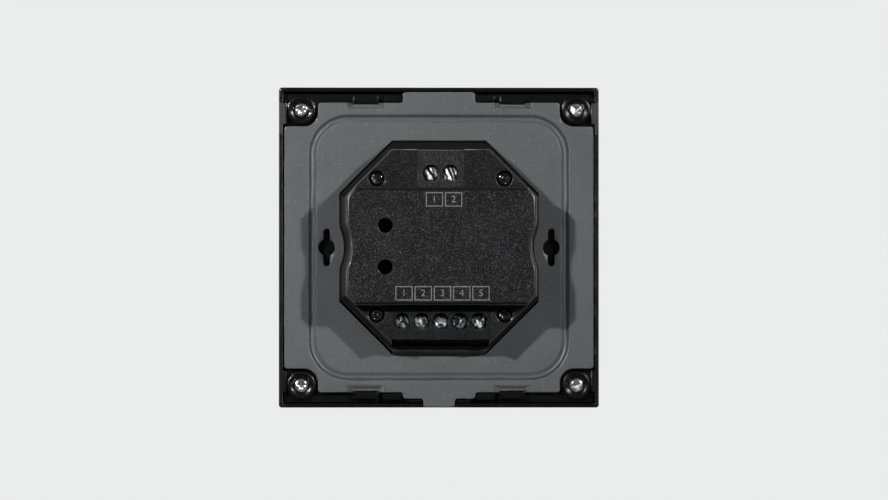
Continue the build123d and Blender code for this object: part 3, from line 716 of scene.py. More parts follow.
@dataclass(frozen=True)
class FrameWithSheen(Finish):
    """A glossy black moulding, dulled on its side rims, with a painted highlight on them beside
    its upper lugs.
    """

    base: Colour
    painted_highlight: Colour
    rim_from: float = 41.0 * MM
    rim_depth: float = -1.0 * MM
    highlight_low: float = 30.6 * MM
    highlight_high: float = 38.7 * MM
    fade: float = 0.4 * MM
    mottle: float = 5.0 * MM
    grain: float = 0.3 * MM
    lift: float = 1.7
    specular: float = 0.26
    depth: float = 0.006 * MM

    def paint(self, sheet: Sheet) -> None:
        """Gloss with a soft mottle, and the two masks for the rims and the strips of painted
        highlight.

        Args:
            sheet: The empty material.
        """
        mottle, grain = sheet.noise(self.mottle, 4.0), sheet.noise(self.grain, 3.0)
        side = sheet.math("ABSOLUTE", sheet.along("Object", "X"))
        deep, height = sheet.along("Object", "Y"), sheet.along("Object", "Z")
        rim = sheet.math(
            "MULTIPLY",
            sheet.span(side, self.rim_from, self.rim_from + self.fade),
            sheet.span(deep, self.rim_depth - self.fade, self.rim_depth),
        )
        # Painted highlight: a pale strip on the side rims beside the upper lugs, where the glossy
        # edge would reflect light.
        strip = sheet.math(
            "MULTIPLY",
            sheet.span(height, self.highlight_low - self.fade, self.highlight_low),
            sheet.span(height, self.highlight_high, self.highlight_high + self.fade, 1.0, 0.0),
        )
        painted_highlight = sheet.math("MULTIPLY", strip, rim)
        wear_and_sheen = sheet.math("MULTIPLY", painted_highlight, sheet.span(mottle, 0.25, 0.5, 0.6, 1.0))
        ground = sheet.ramp(mottle, self.base, tinted(self.base, self.lift))
        sheet.colour(sheet.blend(wear_and_sheen, ground, self.painted_highlight))
        gloss = sheet.span(grain, 0.25, 0.75, 0.15, 0.21)
        dull = sheet.span(mottle, 0.25, 0.75, 0.22, 0.3)
        sheet.roughness(sheet.between(rim, gloss, dull))
        sheet.set(Specular_IOR_Level=self.specular)
        sheet.bump(grain, self.depth, 0.6)


@dataclass(frozen=True)
class PowderCoat(Finish):
    """A fine powder coat on pressed steel, with a faint sparkle."""

    base: Colour
    glint: Colour
    grain: float = 0.17 * MM
    painted_highlight: float = 1.7
    painted_shade: float = 0.66
    cloud: float = 14.0 * MM
    specular: float = 0.4
    depth: float = 0.02 * MM

    def paint(self, sheet: Sheet) -> None:
        """Orange-peel bump, soft clouding, scattered painted glints, and painted highlight and
        painted shade on the slopes.

        Args:
            sheet: The empty material.
        """
        cloud = sheet.noise(self.cloud, 3.0)
        peel = sheet.noise(self.grain * 2.2, 3.0, 0.55)
        cells = sheet.grains(self.grain * 1.6)
        flat = sheet.ramp(cloud, tinted(self.base, 0.93), tinted(self.base, 1.08), 0.32, 0.7)
        turned = sheet.span(sheet.along("Normal", "Y"), 0.45, 0.95)
        # Painted highlight and painted shade: slopes that face outward are painted paler, and
        # slopes that face inward darker.
        ways = {0: sheet.coords["Normal"], 1: sheet.coords["Object"]}
        outward = sheet.add("VectorMath", ways, operation="DOT_PRODUCT").outputs["Value"]
        wear_and_sheen = sheet.span(outward, 2.0 * MM, 14.0 * MM)
        slope = sheet.blend(wear_and_sheen, tinted(self.base, self.painted_shade), tinted(self.base, self.painted_highlight))
        ground = sheet.blend(turned, slope, flat)
        glints = sheet.span(cells, 0.86, 1.0, 0.0, 0.75)
        sparkle = sheet.math("MULTIPLY", glints, sheet.span(peel, 0.4, 0.62))
        sheet.colour(sheet.blend(sparkle, ground, self.glint))
        sheet.roughness(sheet.span(peel, 0.3, 0.7, 0.27, 0.37))
        sheet.set(Specular_IOR_Level=self.specular)
        sheet.bump(peel, self.depth, 0.5)


@dataclass(frozen=True)
class Plated(Finish):
    """Bare or plated metal with fine turning marks and handling wear."""

    base: Colour
    wear_and_sheen: Colour
    rough: tuple[float, float] = (0.2, 0.38)
    metallic: float = 1.0
    cloud: float = 1.6 * MM
    grain: float = 0.3 * MM
    depth: float = 0.004 * MM

    def paint(self, sheet: Sheet) -> None:
        """Clouded plating with fine scratches along the face.

        Args:
            sheet: The empty material.
        """
        cloud = sheet.noise(self.cloud, 4.0)
        marks = sheet.noise(self.grain, 3.0, 0.6, (1.0, 1.0, 0.22))
        sheet.colour(sheet.ramp(cloud, self.base, self.wear_and_sheen))
        sheet.roughness(sheet.span(marks, 0.3, 0.7, *self.rough))
        sheet.set(Metallic=self.metallic)
        sheet.bump(marks, self.depth, 0.5)


@dataclass(frozen=True)
class ScrewHead(Finish):
    """A plated screw head, uneven so that it takes the light, with streaks of painted reflection.
    """

    dark: Colour
    bright: Colour
    swell: float = 1.5 * MM
    depth: float = 0.35 * MM
    cover: tuple[float, float] = (0.42, 0.56)
    streak: float = 0.13
    painted_shadow_from: float = 1.0
    painted_shadow_fade: float = 0.7 * MM
    painted_shadow: float = 0.3
    rough: tuple[float, float] = (0.2, 0.12)
    smear_and_sheen: float = 0.55 * MM
    slant: float = 24.0

    def paint(self, sheet: Sheet) -> None:
        """Broad swells for the light, streaks of painted reflection, and painted shadow on the
        head's upper part under the pocket's rim.

        Args:
            sheet: The empty material.
        """
        swell = sheet.noise(self.swell, 1.5)
        smear_and_sheen = sheet.noise(self.smear_and_sheen, 2.0, 0.5, (1.0, 1.0, self.streak), self.slant)
        # Painted reflection: streaks of near-black and bright plating stand in for the light that
        # the head reflects.
        plating = sheet.ramp(smear_and_sheen, self.dark, self.bright, *self.cover)
        # Painted shadow: the head's upper part is darkened where the pocket's upper rim shades it.
        uneven = sheet.span(swell, 0.3, 0.7, -0.3 * MM, 0.3 * MM)
        level = sheet.math("ADD", sheet.along("Object", "Z"), uneven)
        upper = sheet.span(level, self.painted_shadow_from, self.painted_shadow_from + self.painted_shadow_fade)
        sheet.colour(sheet.blend(upper, plating, tinted(self.dark, self.painted_shadow)))
        sheet.roughness(sheet.span(smear_and_sheen, *self.cover, *self.rough))
        sheet.set(Metallic=1.0)
        sheet.bump(swell, self.depth, 0.6)


@dataclass(frozen=True)
class FaceGlass(Finish):
    """Polished glass, printed black behind."""

    base: Colour
    smear_and_sheen: float = 18.0 * MM
    lift: float = 1.4

    def paint(self, sheet: Sheet) -> None:
        """Deep gloss with the faintest smear of handling.

        Args:
            sheet: The empty material.
        """
        smear_and_sheen = sheet.noise(self.smear_and_sheen, 4.0, 0.6)
        sheet.colour(sheet.ramp(smear_and_sheen, self.base, tinted(self.base, self.lift), high=0.75))
        sheet.roughness(sheet.span(smear_and_sheen, 0.3, 0.75, 0.03, 0.07))
        sheet.set(Specular_IOR_Level=0.5, IOR=1.52, Coat_Weight=0.2, Coat_Roughness=0.03)


@dataclass(frozen=True)
class SolderResist(Finish):
    """A circuit board under its green resist, with copper runs showing through."""

    base: Colour
    run: Colour
    pitch: float = 1.27 * MM
    cloud: float = 5.0 * MM
    lift: float = 1.3
    depth: float = 0.03 * MM

    def paint(self, sheet: Sheet) -> None:
        """Runs as raised stripes broken by noise.

        Args:
            sheet: The empty material.
        """
        axes = {
            "Vector": sheet.coords["Object"],
            "Rotation": Vector((math.radians(90.0), 0.0, 0.0)),
        }
        runs = {
            "Vector": sheet.add("Mapping", axes).outputs[0],
            "Scale": 1.0 / (self.pitch * 4.0),
            "Mortar Size": 0.05,
            "Mortar Smooth": 0.2,
            "Brick Width": 1.7,
            "Row Height": 0.25,
        }
        brick = sheet.add("TexBrick", runs, offset=0.37, squash=1.0).outputs["Fac"]
        cloud = sheet.noise(self.cloud, 3.0)
        ground = sheet.ramp(cloud, self.base, tinted(self.base, self.lift), high=0.7)
        sheet.colour(sheet.blend(brick, ground, self.run))
        sheet.roughness(sheet.span(cloud, 0.3, 0.7, 0.28, 0.4))
        sheet.bump(brick, self.depth, 0.6)


@dataclass(frozen=True)
class Banded(Finish):
    """Wound or wrapped layers that show as fine bands along one axis."""

    base: Colour
    band: Colour
    pitch: float = 0.45 * MM
    axis: str = "Z"
    rough: float = 0.35
    mottle: float = 2.0 * MM
    depth: float = 0.03 * MM

    def paint(self, sheet: Sheet) -> None:
        """Sine bands with a soft mottle.

        Args:
            sheet: The empty material.
        """
        bands = {
            "Vector": sheet.coords["Object"],
            "Scale": 0.314 / self.pitch,
            "Distortion": 0.6,
            "Detail": 1.0,
        }
        wave = sheet.add("TexWave", bands, wave_type="BANDS", bands_direction=self.axis)
        mottle = sheet.noise(self.mottle, 3.0)
        sheet.colour(sheet.ramp(wave.outputs["Fac"], self.base, self.band, 0.15, 0.8))
        sheet.roughness(sheet.span(mottle, 0.3, 0.7, self.rough, self.rough + 0.15))
        sheet.bump(wave.outputs["Fac"], self.depth, 0.6)


@dataclass(frozen=True)
class Ink(Finish):
    """Printed ink, slightly worn and uneven."""

    base: Colour
    wear_and_sheen: Colour
    wear: float = 0.4 * MM

    def paint(self, sheet: Sheet) -> None:
        """Broken cover where the print sits on a textured face.

        Args:
            sheet: The empty material.
        """
        wear = sheet.noise(self.wear, 3.0, 0.6)
        sheet.colour(sheet.ramp(wear, self.wear_and_sheen, self.base, 0.36, 0.6))
        sheet.roughness(sheet.span(wear, 0.3, 0.7, 0.6, 0.45))
        sheet.set(Specular_IOR_Level=0.3)


# Foot colours of painted shade for the drafted walls.
SHADE: Colour = (0.001, 0.001, 0.001)
BLOCK_FOOT_SHADE: Colour = (0.004, 0.004, 0.004)
FINISH_LIST: tuple[Finish, ...] = (
    FaceGlass("face_glass", (0.004, 0.004, 0.005)),
    Moulded("tape", (0.012, 0.012, 0.012), (0.03, 0.03, 0.03), 0.15 * MM, (0.8, 0.95), 0.1),
    FrameWithSheen("frame_plastic", (0.0028, 0.0028, 0.0029), (0.05, 0.049, 0.051)),
    PowderCoat("plate_coat", (0.085, 0.092, 0.094), (0.19, 0.20, 0.20)),
    Sparked("housing_face", (0.0045, 0.0045, 0.0048), (0.076, 0.076, 0.079), 0.24 * MM),
    # The deck is the face's texture painted darker: painted shade.
    Sparked("housing_deck", (0.0031, 0.0031, 0.0033), (0.05, 0.05, 0.053), 0.24 * MM),
    # The wall, sill and slot finishes are painted paler: painted light on faces that the lamps
    # leave in shade.
    DraftWall("housing_wall", (0.046, 0.047, 0.048), (0.042, 0.042, 0.043)),
    DraftWall("housing_sill", (0.032, 0.0325, 0.033), (0.03, 0.03, 0.0305)),
    DraftWall("housing_slot", (0.04, 0.04, 0.041), (0.03, 0.03, 0.031)),
    # The crown and flank finishes are painted darker: painted shade, the flank with a paler line
    # of painted highlight.
    DraftWall("housing_crown", (0.009, 0.0093, 0.0096), SHADE, 0.0),
    DraftWall("housing_flank", (0.019, 0.019, 0.0195), SHADE, 0.0, 5.0 * MM, 6.6 * MM, 0.042),
    DraftWall("housing_side", (0.028, 0.028, 0.0285), SHADE, 0.03, 7.0 * MM, 11.0 * MM),
    Moulded(
        "housing_ledge",
        (0.0048, 0.0048, 0.005),
        (0.0078, 0.0078, 0.008),
        0.3 * MM,
        (0.5, 0.62),
        0.04,
    ),
    Moulded(
        "housing_edge", (0.018, 0.018, 0.018), (0.04, 0.04, 0.04), 0.4 * MM, (0.19, 0.27), 0.6
    ),
    Plated("bright_steel", (0.62, 0.62, 0.61), (0.76, 0.76, 0.74), (0.18, 0.32)),
    ScrewHead(
        "input_steel",
        (0.07, 0.08, 0.08),
        (0.97, 0.99, 0.98),
        depth=0.42 * MM,
        painted_shadow_from=20.5 * MM,
        rough=(0.18, 0.26),
    ),
    ScrewHead(
        "output_steel",
        (0.05, 0.06, 0.06),
        (0.9, 0.95, 0.94),
        1.7 * MM,
        0.55 * MM,
        (0.45, 0.62),
        painted_shadow_from=-19.3 * MM,
        rough=(0.16, 0.215),
    ),
    ScrewHead(
        "corner_steel", (0.48, 0.48, 0.47), (0.86, 0.86, 0.84), 1.0 * MM, 0.16 * MM, streak=1.0
    ),
    Plated("black_steel", (0.002, 0.002, 0.002), (0.005, 0.005, 0.005), (0.07, 0.12), 0.0),
    SolderResist("circuit_board", (0.012, 0.075, 0.03), (0.03, 0.15, 0.06)),
    Moulded("chip_case", (0.010, 0.010, 0.011), (0.02, 0.02, 0.021), 0.12 * MM),
    Moulded("led_lens", (0.7, 0.7, 0.62), (0.8, 0.8, 0.74), 0.4 * MM, (0.2, 0.3), 0.5),
    Sparked("input_face", (0.008, 0.008, 0.0084), (0.094, 0.094, 0.098), 0.24 * MM),
    Sparked("output_face", (0.0026, 0.0038, 0.0038), (0.026, 0.032, 0.032), cover=0.5),
    DraftWall("block_wall", (0.012, 0.014, 0.014), BLOCK_FOOT_SHADE),
    # Painted light: the pocket walls are paler, so that the shaded ring round each screw is not
    # black.
    DraftWall("block_mouth", (0.07, 0.078, 0.078), BLOCK_FOOT_SHADE),
    Plated("contact_brass", (0.62, 0.47, 0.22), (0.72, 0.6, 0.34)),
    Moulded("ferrite", (0.025, 0.025, 0.027), (0.05, 0.05, 0.052), 0.2 * MM, (0.5, 0.65)),
    Banded("winding", (0.5, 0.31, 0.03), (0.68, 0.47, 0.08), 0.6 * MM, "X"),
    Banded("capacitor_can", (0.03, 0.035, 0.055), (0.045, 0.05, 0.08), 2.4 * MM, "X"),
    Moulded("film_case", (0.48, 0.32, 0.06), (0.6, 0.42, 0.1), 0.5 * MM, (0.25, 0.35), 0.5),
    Moulded(
        "varistor_coat",
        (0.02, 0.10, 0.36),
        (0.04, 0.14, 0.46),
        0.8 * MM,
        (0.18, 0.3),
        0.5,
        0.02 * MM,
    ),
    Moulded(
        "fuse_case", (0.08, 0.028, 0.016), (0.12, 0.045, 0.026), 0.4 * MM, (0.2, 0.3), 0.5
    ),
    Moulded("coupler_case", (0.62, 0.61, 0.56), (0.74, 0.73, 0.68), 0.2 * MM),
    Banded("fibre_sheet", (0.022, 0.022, 0.022), (0.036, 0.036, 0.036), 0.5 * MM, "X", 0.6),
    Ink("legend_ink", (0.19, 0.19, 0.19), (0.09, 0.09, 0.09)),
    Ink("touch_ink", (0.62, 0.62, 0.62), (0.55, 0.55, 0.55)),
)
FINISHES: dict[str, Finish] = {finish.name: finish for finish in FINISH_LIST}


def add_finish(obj: Piece, finish: str) -> int:
    """Gives a piece one more finish.

    Args:
        obj: The piece.
        finish: The finish's name.

    Returns:
        The finish's place among the piece's materials.
    """
    obj.data.materials.append(FINISHES[finish].make())
    return len(obj.data.materials) - 1


def dress(obj: Piece, finish: str) -> Piece:
    """Gives a piece its finish, in place of any that it had.

    Args:
        obj: The piece.
        finish: The finish's name.

    Returns:
        The same piece.
    """
    obj.data.materials.clear()
    add_finish(obj, finish)
    return obj


def dress_moulding(obj: Piece, finishes: Iterable[str], face_from: float) -> Piece:
    """Gives a moulding one finish on its rear faces, one on its walls and one on its rounds.

    Args:
        obj: The piece.
        finishes: The finishes of the face, wall, edge and ledge zones, in this order.
        face_from: The depth from which flat rear faces are textured, in metres.

    Returns:
        The same piece.
    """
    obj.data.materials.clear()
    for finish in finishes:
        add_finish(obj, finish)
    for polygon in obj.data.polygons:
        turned = polygon.normal.y
        if turned > FLAT_TURN:
            zone = Zone.FACE if polygon.center.y > face_from else Zone.LEDGE
        else:
            zone = Zone.EDGE if turned > WALL_TURN else Zone.WALL
        polygon.material_index = zone
    return obj


def dress_node(node: str, finish: str) -> Piece:
    """Gives a CAD node that stays in view its finish.

    Args:
        node: The CAD node's name.
        finish: The finish's name.

    Returns:
        The node's object.
    """
    obj = frame["nodes"][node]
    obj.data.materials.clear()
    add_finish(obj, finish)
    return obj


@dataclass
class FrontUnit:
    """The glass face, its carrier frame and the touch electronics behind it."""

    frame_round: float = 0.16 * MM
    glass_round: float = 0.35 * MM
    screw_round: float = 0.08 * MM
    ring_radius: float = 21.0 * MM
    ring_gap: float = 6.5 * MM
    ring_line: float = 0.35 * MM
    ring_centre: float = 11.0 * MM
    key_row: float = -27.5 * MM
    key_pitch: float = 13.0 * MM
    key_height: float = 3.4 * MM
    led_count: int = 5

    def build(self) -> list[Piece]:
        """Builds and dresses the unit.

        Returns:
            The pieces made or dressed.
        """
        glass = Bench.dressed_copy("glass_panel", "face_glass", self.glass_round, 3)
        made = [dress(glass, "face_glass")]
        for node, piece in (("front_frame", "carrier_frame"), ("rear_tray", "carrier_tray")):
            made.append(dress(Bench.dressed_copy(node, piece, self.frame_round), "frame_plastic"))
        screws = Bench.dressed_copy("corner_screws", "corner_screw_set", self.screw_round)
        made.append(dress(screws, "corner_steel"))
        made.append(self.touch_marks())
        made.append(dress_node("bond_tape", "tape"))
        made.append(dress_node("touch_board", "circuit_board"))
        for node in ("touch_chip", "radio_chip", "link_socket"):
            made.append(dress_node(node, "chip_case"))
        for index in range(1, self.led_count + 1):
            made.append(dress_node(f"indicator_led_{index}", "led_lens"))
        return made

    def touch_marks(self) -> Piece:
        """Prints the touch rings and the row of numbered keys on the glass.

        Returns:
            The print, as one piece.
        """
        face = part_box("glass_panel")[0].y
        marks = []
        for radius in (self.ring_radius, self.ring_radius - self.ring_gap):
            ring = Printer.ring(radius, self.ring_line)
            marks.append(Printer.lay(ring, Facing.ROOM, (0.0, face, self.ring_centre)))
        for index in range(self.led_count):
            place = ((index - (self.led_count - 1) / 2) * self.key_pitch, face, self.key_row)
            numeral = Printer.numeral(str(index + 1), self.key_height)
            marks.append(Printer.lay(numeral, Facing.ROOM, place))
        piece = Bench.join(marks, "touch_marks")
        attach(piece, "front_unit")
        return dress(piece, "touch_ink")


@dataclass
class MountingPlate:
    """The pressed steel plate that the wall screws hold."""

    rear_round: float = 0.24 * MM
    rear_from: float = -0.95 * MM
    front_round: float = 0.1 * MM

    def build(self) -> list[Piece]:
        """Builds and dresses the plate.

        Returns:
            The pieces made or dressed.
        """
        plate = Bench.dressed_copy(
            "mounting_plate", "wall_plate", self.front_round, shape=self.round_rear
        )
        return [dress(plate, "plate_coat"), dress_node("insulating_sheet", "fibre_sheet")]

    def round_rear(self, plate: Piece) -> None:
        """Rounds the edges of the plate's rear side, where the press has drawn them most.

        Args:
            plate: The plate before its other edges are rounded.
        """
        Bench.ease(plate, lambda a, b: min(a.y, b.y) > self.rear_from, self.rear_round, 2, SHARP)


@dataclass
class RearHousing:
    """The moulded rear housing with its screws and its printed terminal boxes."""

    edge_round: float = 0.12 * MM
    edge_angle: float = 50.0
    screw_round: float = 0.08 * MM
    texture_from: float = 17.0 * MM
    bay_half: float = 14.0 * MM
    face_edge: float = 1.2 * MM
    sill_below: float = -25.0 * MM
    skirt: float = 6.0 * MM
    steep: float = -0.8
    flank_turn: float = 0.3
    side_turn: float = 0.75
    long_turn: float = 0.1
    deck_drop: float = 4.0 * MM
    box_width: float = 4.55 * MM
    box_height: float = 3.75 * MM
    box_line: float = 0.24 * MM
    pitch: float = 5.08 * MM
    input_row: float = 12.35 * MM
    input_shift: float = -0.66 * MM
    output_row: float = -12.45 * MM
    output_shift: float = -0.26 * MM
    numeral_height: float = 2.5 * MM

    def build(self) -> list[Piece]:
        """Builds and dresses the housing.

        Returns:
            The pieces made or dressed.
        """
        shell = Bench.dressed_copy(
            "rear_housing", "housing_shell", self.edge_round, angle=self.edge_angle
        )
        finishes = ("housing_face", "housing_wall", "housing_edge", "housing_ledge")
        dress_moulding(shell, finishes, self.texture_from)
        self.flush_bays(shell)
        self.shade(shell)
        screws = Bench.dressed_copy("housing_screws", "housing_screw_set", self.screw_round)
        return [shell, dress(screws, "black_steel"), self.legend()]

    def flush_bays(self, shell: Piece) -> None:
        """Carries the face's texture over the upright edges of the terminal bays.

        Args:
            shell: The dressed housing.
        """
        for polygon in shell.data.polygons:
            middle, normal = polygon.center, polygon.normal
            upright = abs(normal.x) > abs(normal.z)
            if polygon.material_index == Zone.EDGE and upright and abs(middle.x) < self.bay_half:
                polygon.material_index = Zone.FACE

    def shade(self, shell: Piece) -> None:
        """Gives the walls, sills and decks finishes of their own, and two long edges a matt one;
        the zones are one plastic, with painted shade on the crown, flanks and deck and painted
        light on the walls that face down, the sills and the slot floors.

        Args:
            shell: The dressed housing.
        """
        for zone in (Zone.CROWN, Zone.FLANK, Zone.SIDE, Zone.SILL, Zone.DECK, Zone.SLOT):
            add_finish(shell, f"housing_{zone.name.lower()}")
        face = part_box("rear_housing")[1].y
        for polygon in shell.data.polygons:
            polygon.material_index = self.sort(polygon, face)

    def sort(self, polygon: bpy.types.MeshPolygon, face: float) -> Zone:
        """Finds the zone of one of the housing's faces.

        Args:
            polygon: The face, with the zone that any moulding would give it.
            face: The depth of the housing's rear face, in metres.

        Returns:
            The zone that it has on the housing.
        """
        middle, normal = polygon.center, polygon.normal
        zone, across = Zone(polygon.material_index), abs(normal.x)
        if zone is Zone.WALL:
            if across > self.flank_turn:
                zone = Zone.SIDE if across > self.side_turn else Zone.FLANK
            elif normal.z > self.flank_turn:
                zone = Zone.CROWN
        elif zone is Zone.EDGE and across < self.long_turn:
            upper = normal.z > WALL_TURN and middle.y < self.skirt + NEAR
            if upper or normal.z > self.steep and middle.y > face - self.face_edge:
                zone = Zone.LEDGE
            elif normal.z < -WALL_TURN and middle.z < self.sill_below:
                zone = Zone.SILL
        elif zone is Zone.LEDGE and middle.z < self.sill_below:
            zone = Zone.SILL if middle.y > self.skirt - self.face_edge / 2 else Zone.SLOT
        elif zone is Zone.FACE and middle.y < face - self.deck_drop:
            zone = Zone.DECK
        return zone

    def legend(self) -> Piece:
        """Prints one numbered box for each terminal.

        Returns:
            The print, as one piece.
        """
        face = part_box("rear_housing")[1].y
        marks = []
        rows = ((2, self.input_row, self.input_shift), (5, self.output_row, self.output_shift))
        for count, row, shift in rows:
            for index in range(count):
                place = (((count - 1) / 2 - index) * self.pitch + shift, face, row)
                box = Printer.outline(self.box_width, self.box_height, self.box_line)
                numeral = Printer.numeral(str(index + 1), self.numeral_height)
                for mark in (box, numeral):
                    marks.append(Printer.lay(mark, Facing.WALL_BOX, place))
        piece = Bench.join(marks, "terminal_legend")
        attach(piece, "base")
        return dress(piece, "legend_ink")


@dataclass
class TerminalBlock:
    """One screw terminal block with its screws, cages and contacts."""

    name: str
    poles: int
    upper_chamfer: float = 0.0
    chamfer_turn: tuple[float, float] = (0.4, 0.95)
    block_round: float = 0.05 * MM
    texture_from: float = 17.0 * MM
    screw_round: float = 0.06 * MM
    pocket_radius: float = 2.35 * MM
    pocket_draft: float = 0.26 * MM

    def build(self) -> list[Piece]:
        """Builds and dresses the block.

        Returns:
            The pieces made or dressed.
        """
        block = Bench.dressed_copy(
            f"{self.name}_terminal", f"{self.name}_block", self.block_round, shape=self.refine
        )
        face = f"{self.name}_face"
        finishes = (face, "block_wall", face, "housing_ledge")
        made = [dress_moulding(block, finishes, self.texture_from)]
        self.light_chamfer(block)
        self.paint_pocket_light(block)
        for index in range(1, self.poles + 1):
            screw = Bench.dressed_copy(
                f"{self.name}_screw_{index}", f"{self.name}_clamp_screw_{index}", self.screw_round
            )
            made.append(dress(screw, f"{self.name}_steel"))
            made.append(dress_node(f"{self.name}_cage_{index}", "bright_steel"))
            made.append(dress_node(f"{self.name}_contact_{index}", "contact_brass"))
        return made

    def refine(self, block: Piece) -> None:
        """Cuts the chamfer and gives the screw pockets their draft, before edges are rounded."""
        self.chamfer(block)
        self.draft_pockets(block)

    def pockets(self) -> list[Vector]:
        """Finds the middle of each screw's head, which is its pocket's too.

        Returns:
            The middles, at the depth of the heads' rear faces.
        """
        middles = []
        for index in range(1, self.poles + 1):
            low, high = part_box(f"{self.name}_screw_{index}")
            middles.append(Vector(((low.x + high.x) / 2, high.y, (low.z + high.z) / 2)))
        return middles

    def draft_pockets(self, block: Piece) -> None:
        """Narrows each pocket's floor, so that its wall runs in towards the screw.

        Args:
            block: The block before its edges are rounded.
        """
        share = 1.0 - self.pocket_draft / self.pocket_radius
        for middle in self.pockets():
            for vertex in block.data.vertices:
                arm = vertex.co - middle
                rim = abs(math.hypot(arm.x, arm.z) - self.pocket_radius) < NEAR
                if rim and arm.y < 0.0:
                    vertex.co = middle + Vector((arm.x * share, arm.y, arm.z * share))
        block.data.update()

    def paint_pocket_light(self, block: Piece) -> None:
        """Gives the pockets' walls a paler finish of their own: painted light in the shaded
        pockets.

        Args:
            block: The dressed block.
        """
        pocket_light = add_finish(block, "block_mouth")
        middles = self.pockets()
        for polygon in block.data.polygons:
            arms = [polygon.center - middle for middle in middles]
            inside = any(math.hypot(a.x, a.z) < self.pocket_radius + NEAR for a in arms)
            if polygon.material_index == Zone.WALL and inside:
                polygon.material_index = pocket_light

    def upper_edge(self, block: Piece) -> tuple[float, float]:
        """Finds the upper edge of the block's rear face.

        Args:
            block: The block.

        Returns:
            The face's depth and its upper edge's height, in metres.
        """
        points = [vertex.co for vertex in block.data.vertices]
        rear = max(point.y for point in points)
        return rear, max(point.z for point in points if point.y > rear - NEAR)

    def chamfer(self, block: Piece) -> None:
        """Carries the housing's chamfer over the block's upper edge.

        Args:
            block: The block before its edges are rounded.
        """
        if not self.upper_chamfer:
            return
        rear, top = self.upper_edge(block)
        Bench.ease(
            block,
            lambda a, b: min(a.y, b.y) > rear - NEAR and min(a.z, b.z) > top - NEAR,
            self.upper_chamfer,
        )

    def light_chamfer(self, block: Piece) -> None:
        """Gives that chamfer the finish of the housing's edges.

        Args:
            block: The dressed block.
        """
        if not self.upper_chamfer:
            return
        lit = add_finish(block, "housing_edge")
        top = self.upper_edge(block)[1]
        low, high = self.chamfer_turn
        for polygon in block.data.polygons:
            if low < polygon.normal.z < high and polygon.center.z > top - self.upper_chamfer:
                polygon.material_index = lit


@dataclass
class SupplyBoard:
    """The supply board sealed in the housing, and the plug that links it to the front."""

    finishes: dict[str, str] = field(
        default_factory=lambda: {
            "power_board": "circuit_board",
            "link_header": "chip_case",
            "link_pins": "contact_brass",
            "transformer_core": "ferrite",
            "transformer_coil": "winding",
            "bulk_capacitor": "capacitor_can",
            "output_capacitor": "capacitor_can",
            "film_capacitor": "film_case",
            "varistor": "varistor_coat",
            "fuse": "fuse_case",
            "rectifier_chip": "chip_case",
            "control_chip": "chip_case",
            "optocoupler": "coupler_case",
            "line_driver": "chip_case",
        }
    )

    def build(self) -> list[Piece]:
        """Dresses the board and its parts."""
        return [dress_node(node, finish) for node, finish in self.finishes.items()]


@dataclass(frozen=True)
class Softbox:
    """One rectangular studio lamp aimed at the panel.

    Its level is the brightness that it gives a white card at the aim.
    """

    name: str
    place: Point
    width: float
    height: float
    level: float
    aim: Point = (0.0, 0.0, 0.0)
    beam: Optional[float] = None

    def build(self) -> Piece:
        """Adds the lamp.

        Returns:
            The lamp's object.
        """
        light = bpy.data.lights.new(self.name, "AREA")
        light.shape = "RECTANGLE"
        light.size = self.width
        light.size_y = self.height
        reach = Vector(self.aim) - Vector(self.place)
        light.energy = self.level * math.pi * math.pi * reach.length_squared
        if self.beam:
            light.spread = math.radians(self.beam)
            half = light.spread / 2
            light.energy *= (math.tan(half) - half) / math.tan(half)
        lamp = bpy.data.objects.new(self.name, light)
        bpy.context.scene.collection.objects.link(lamp)
        lamp.location = self.place
        lamp.rotation_mode = "QUATERNION"
        lamp.rotation_quaternion = reach.to_track_quat("-Z", "Y")
        lamp.visible_camera = False
        return lamp


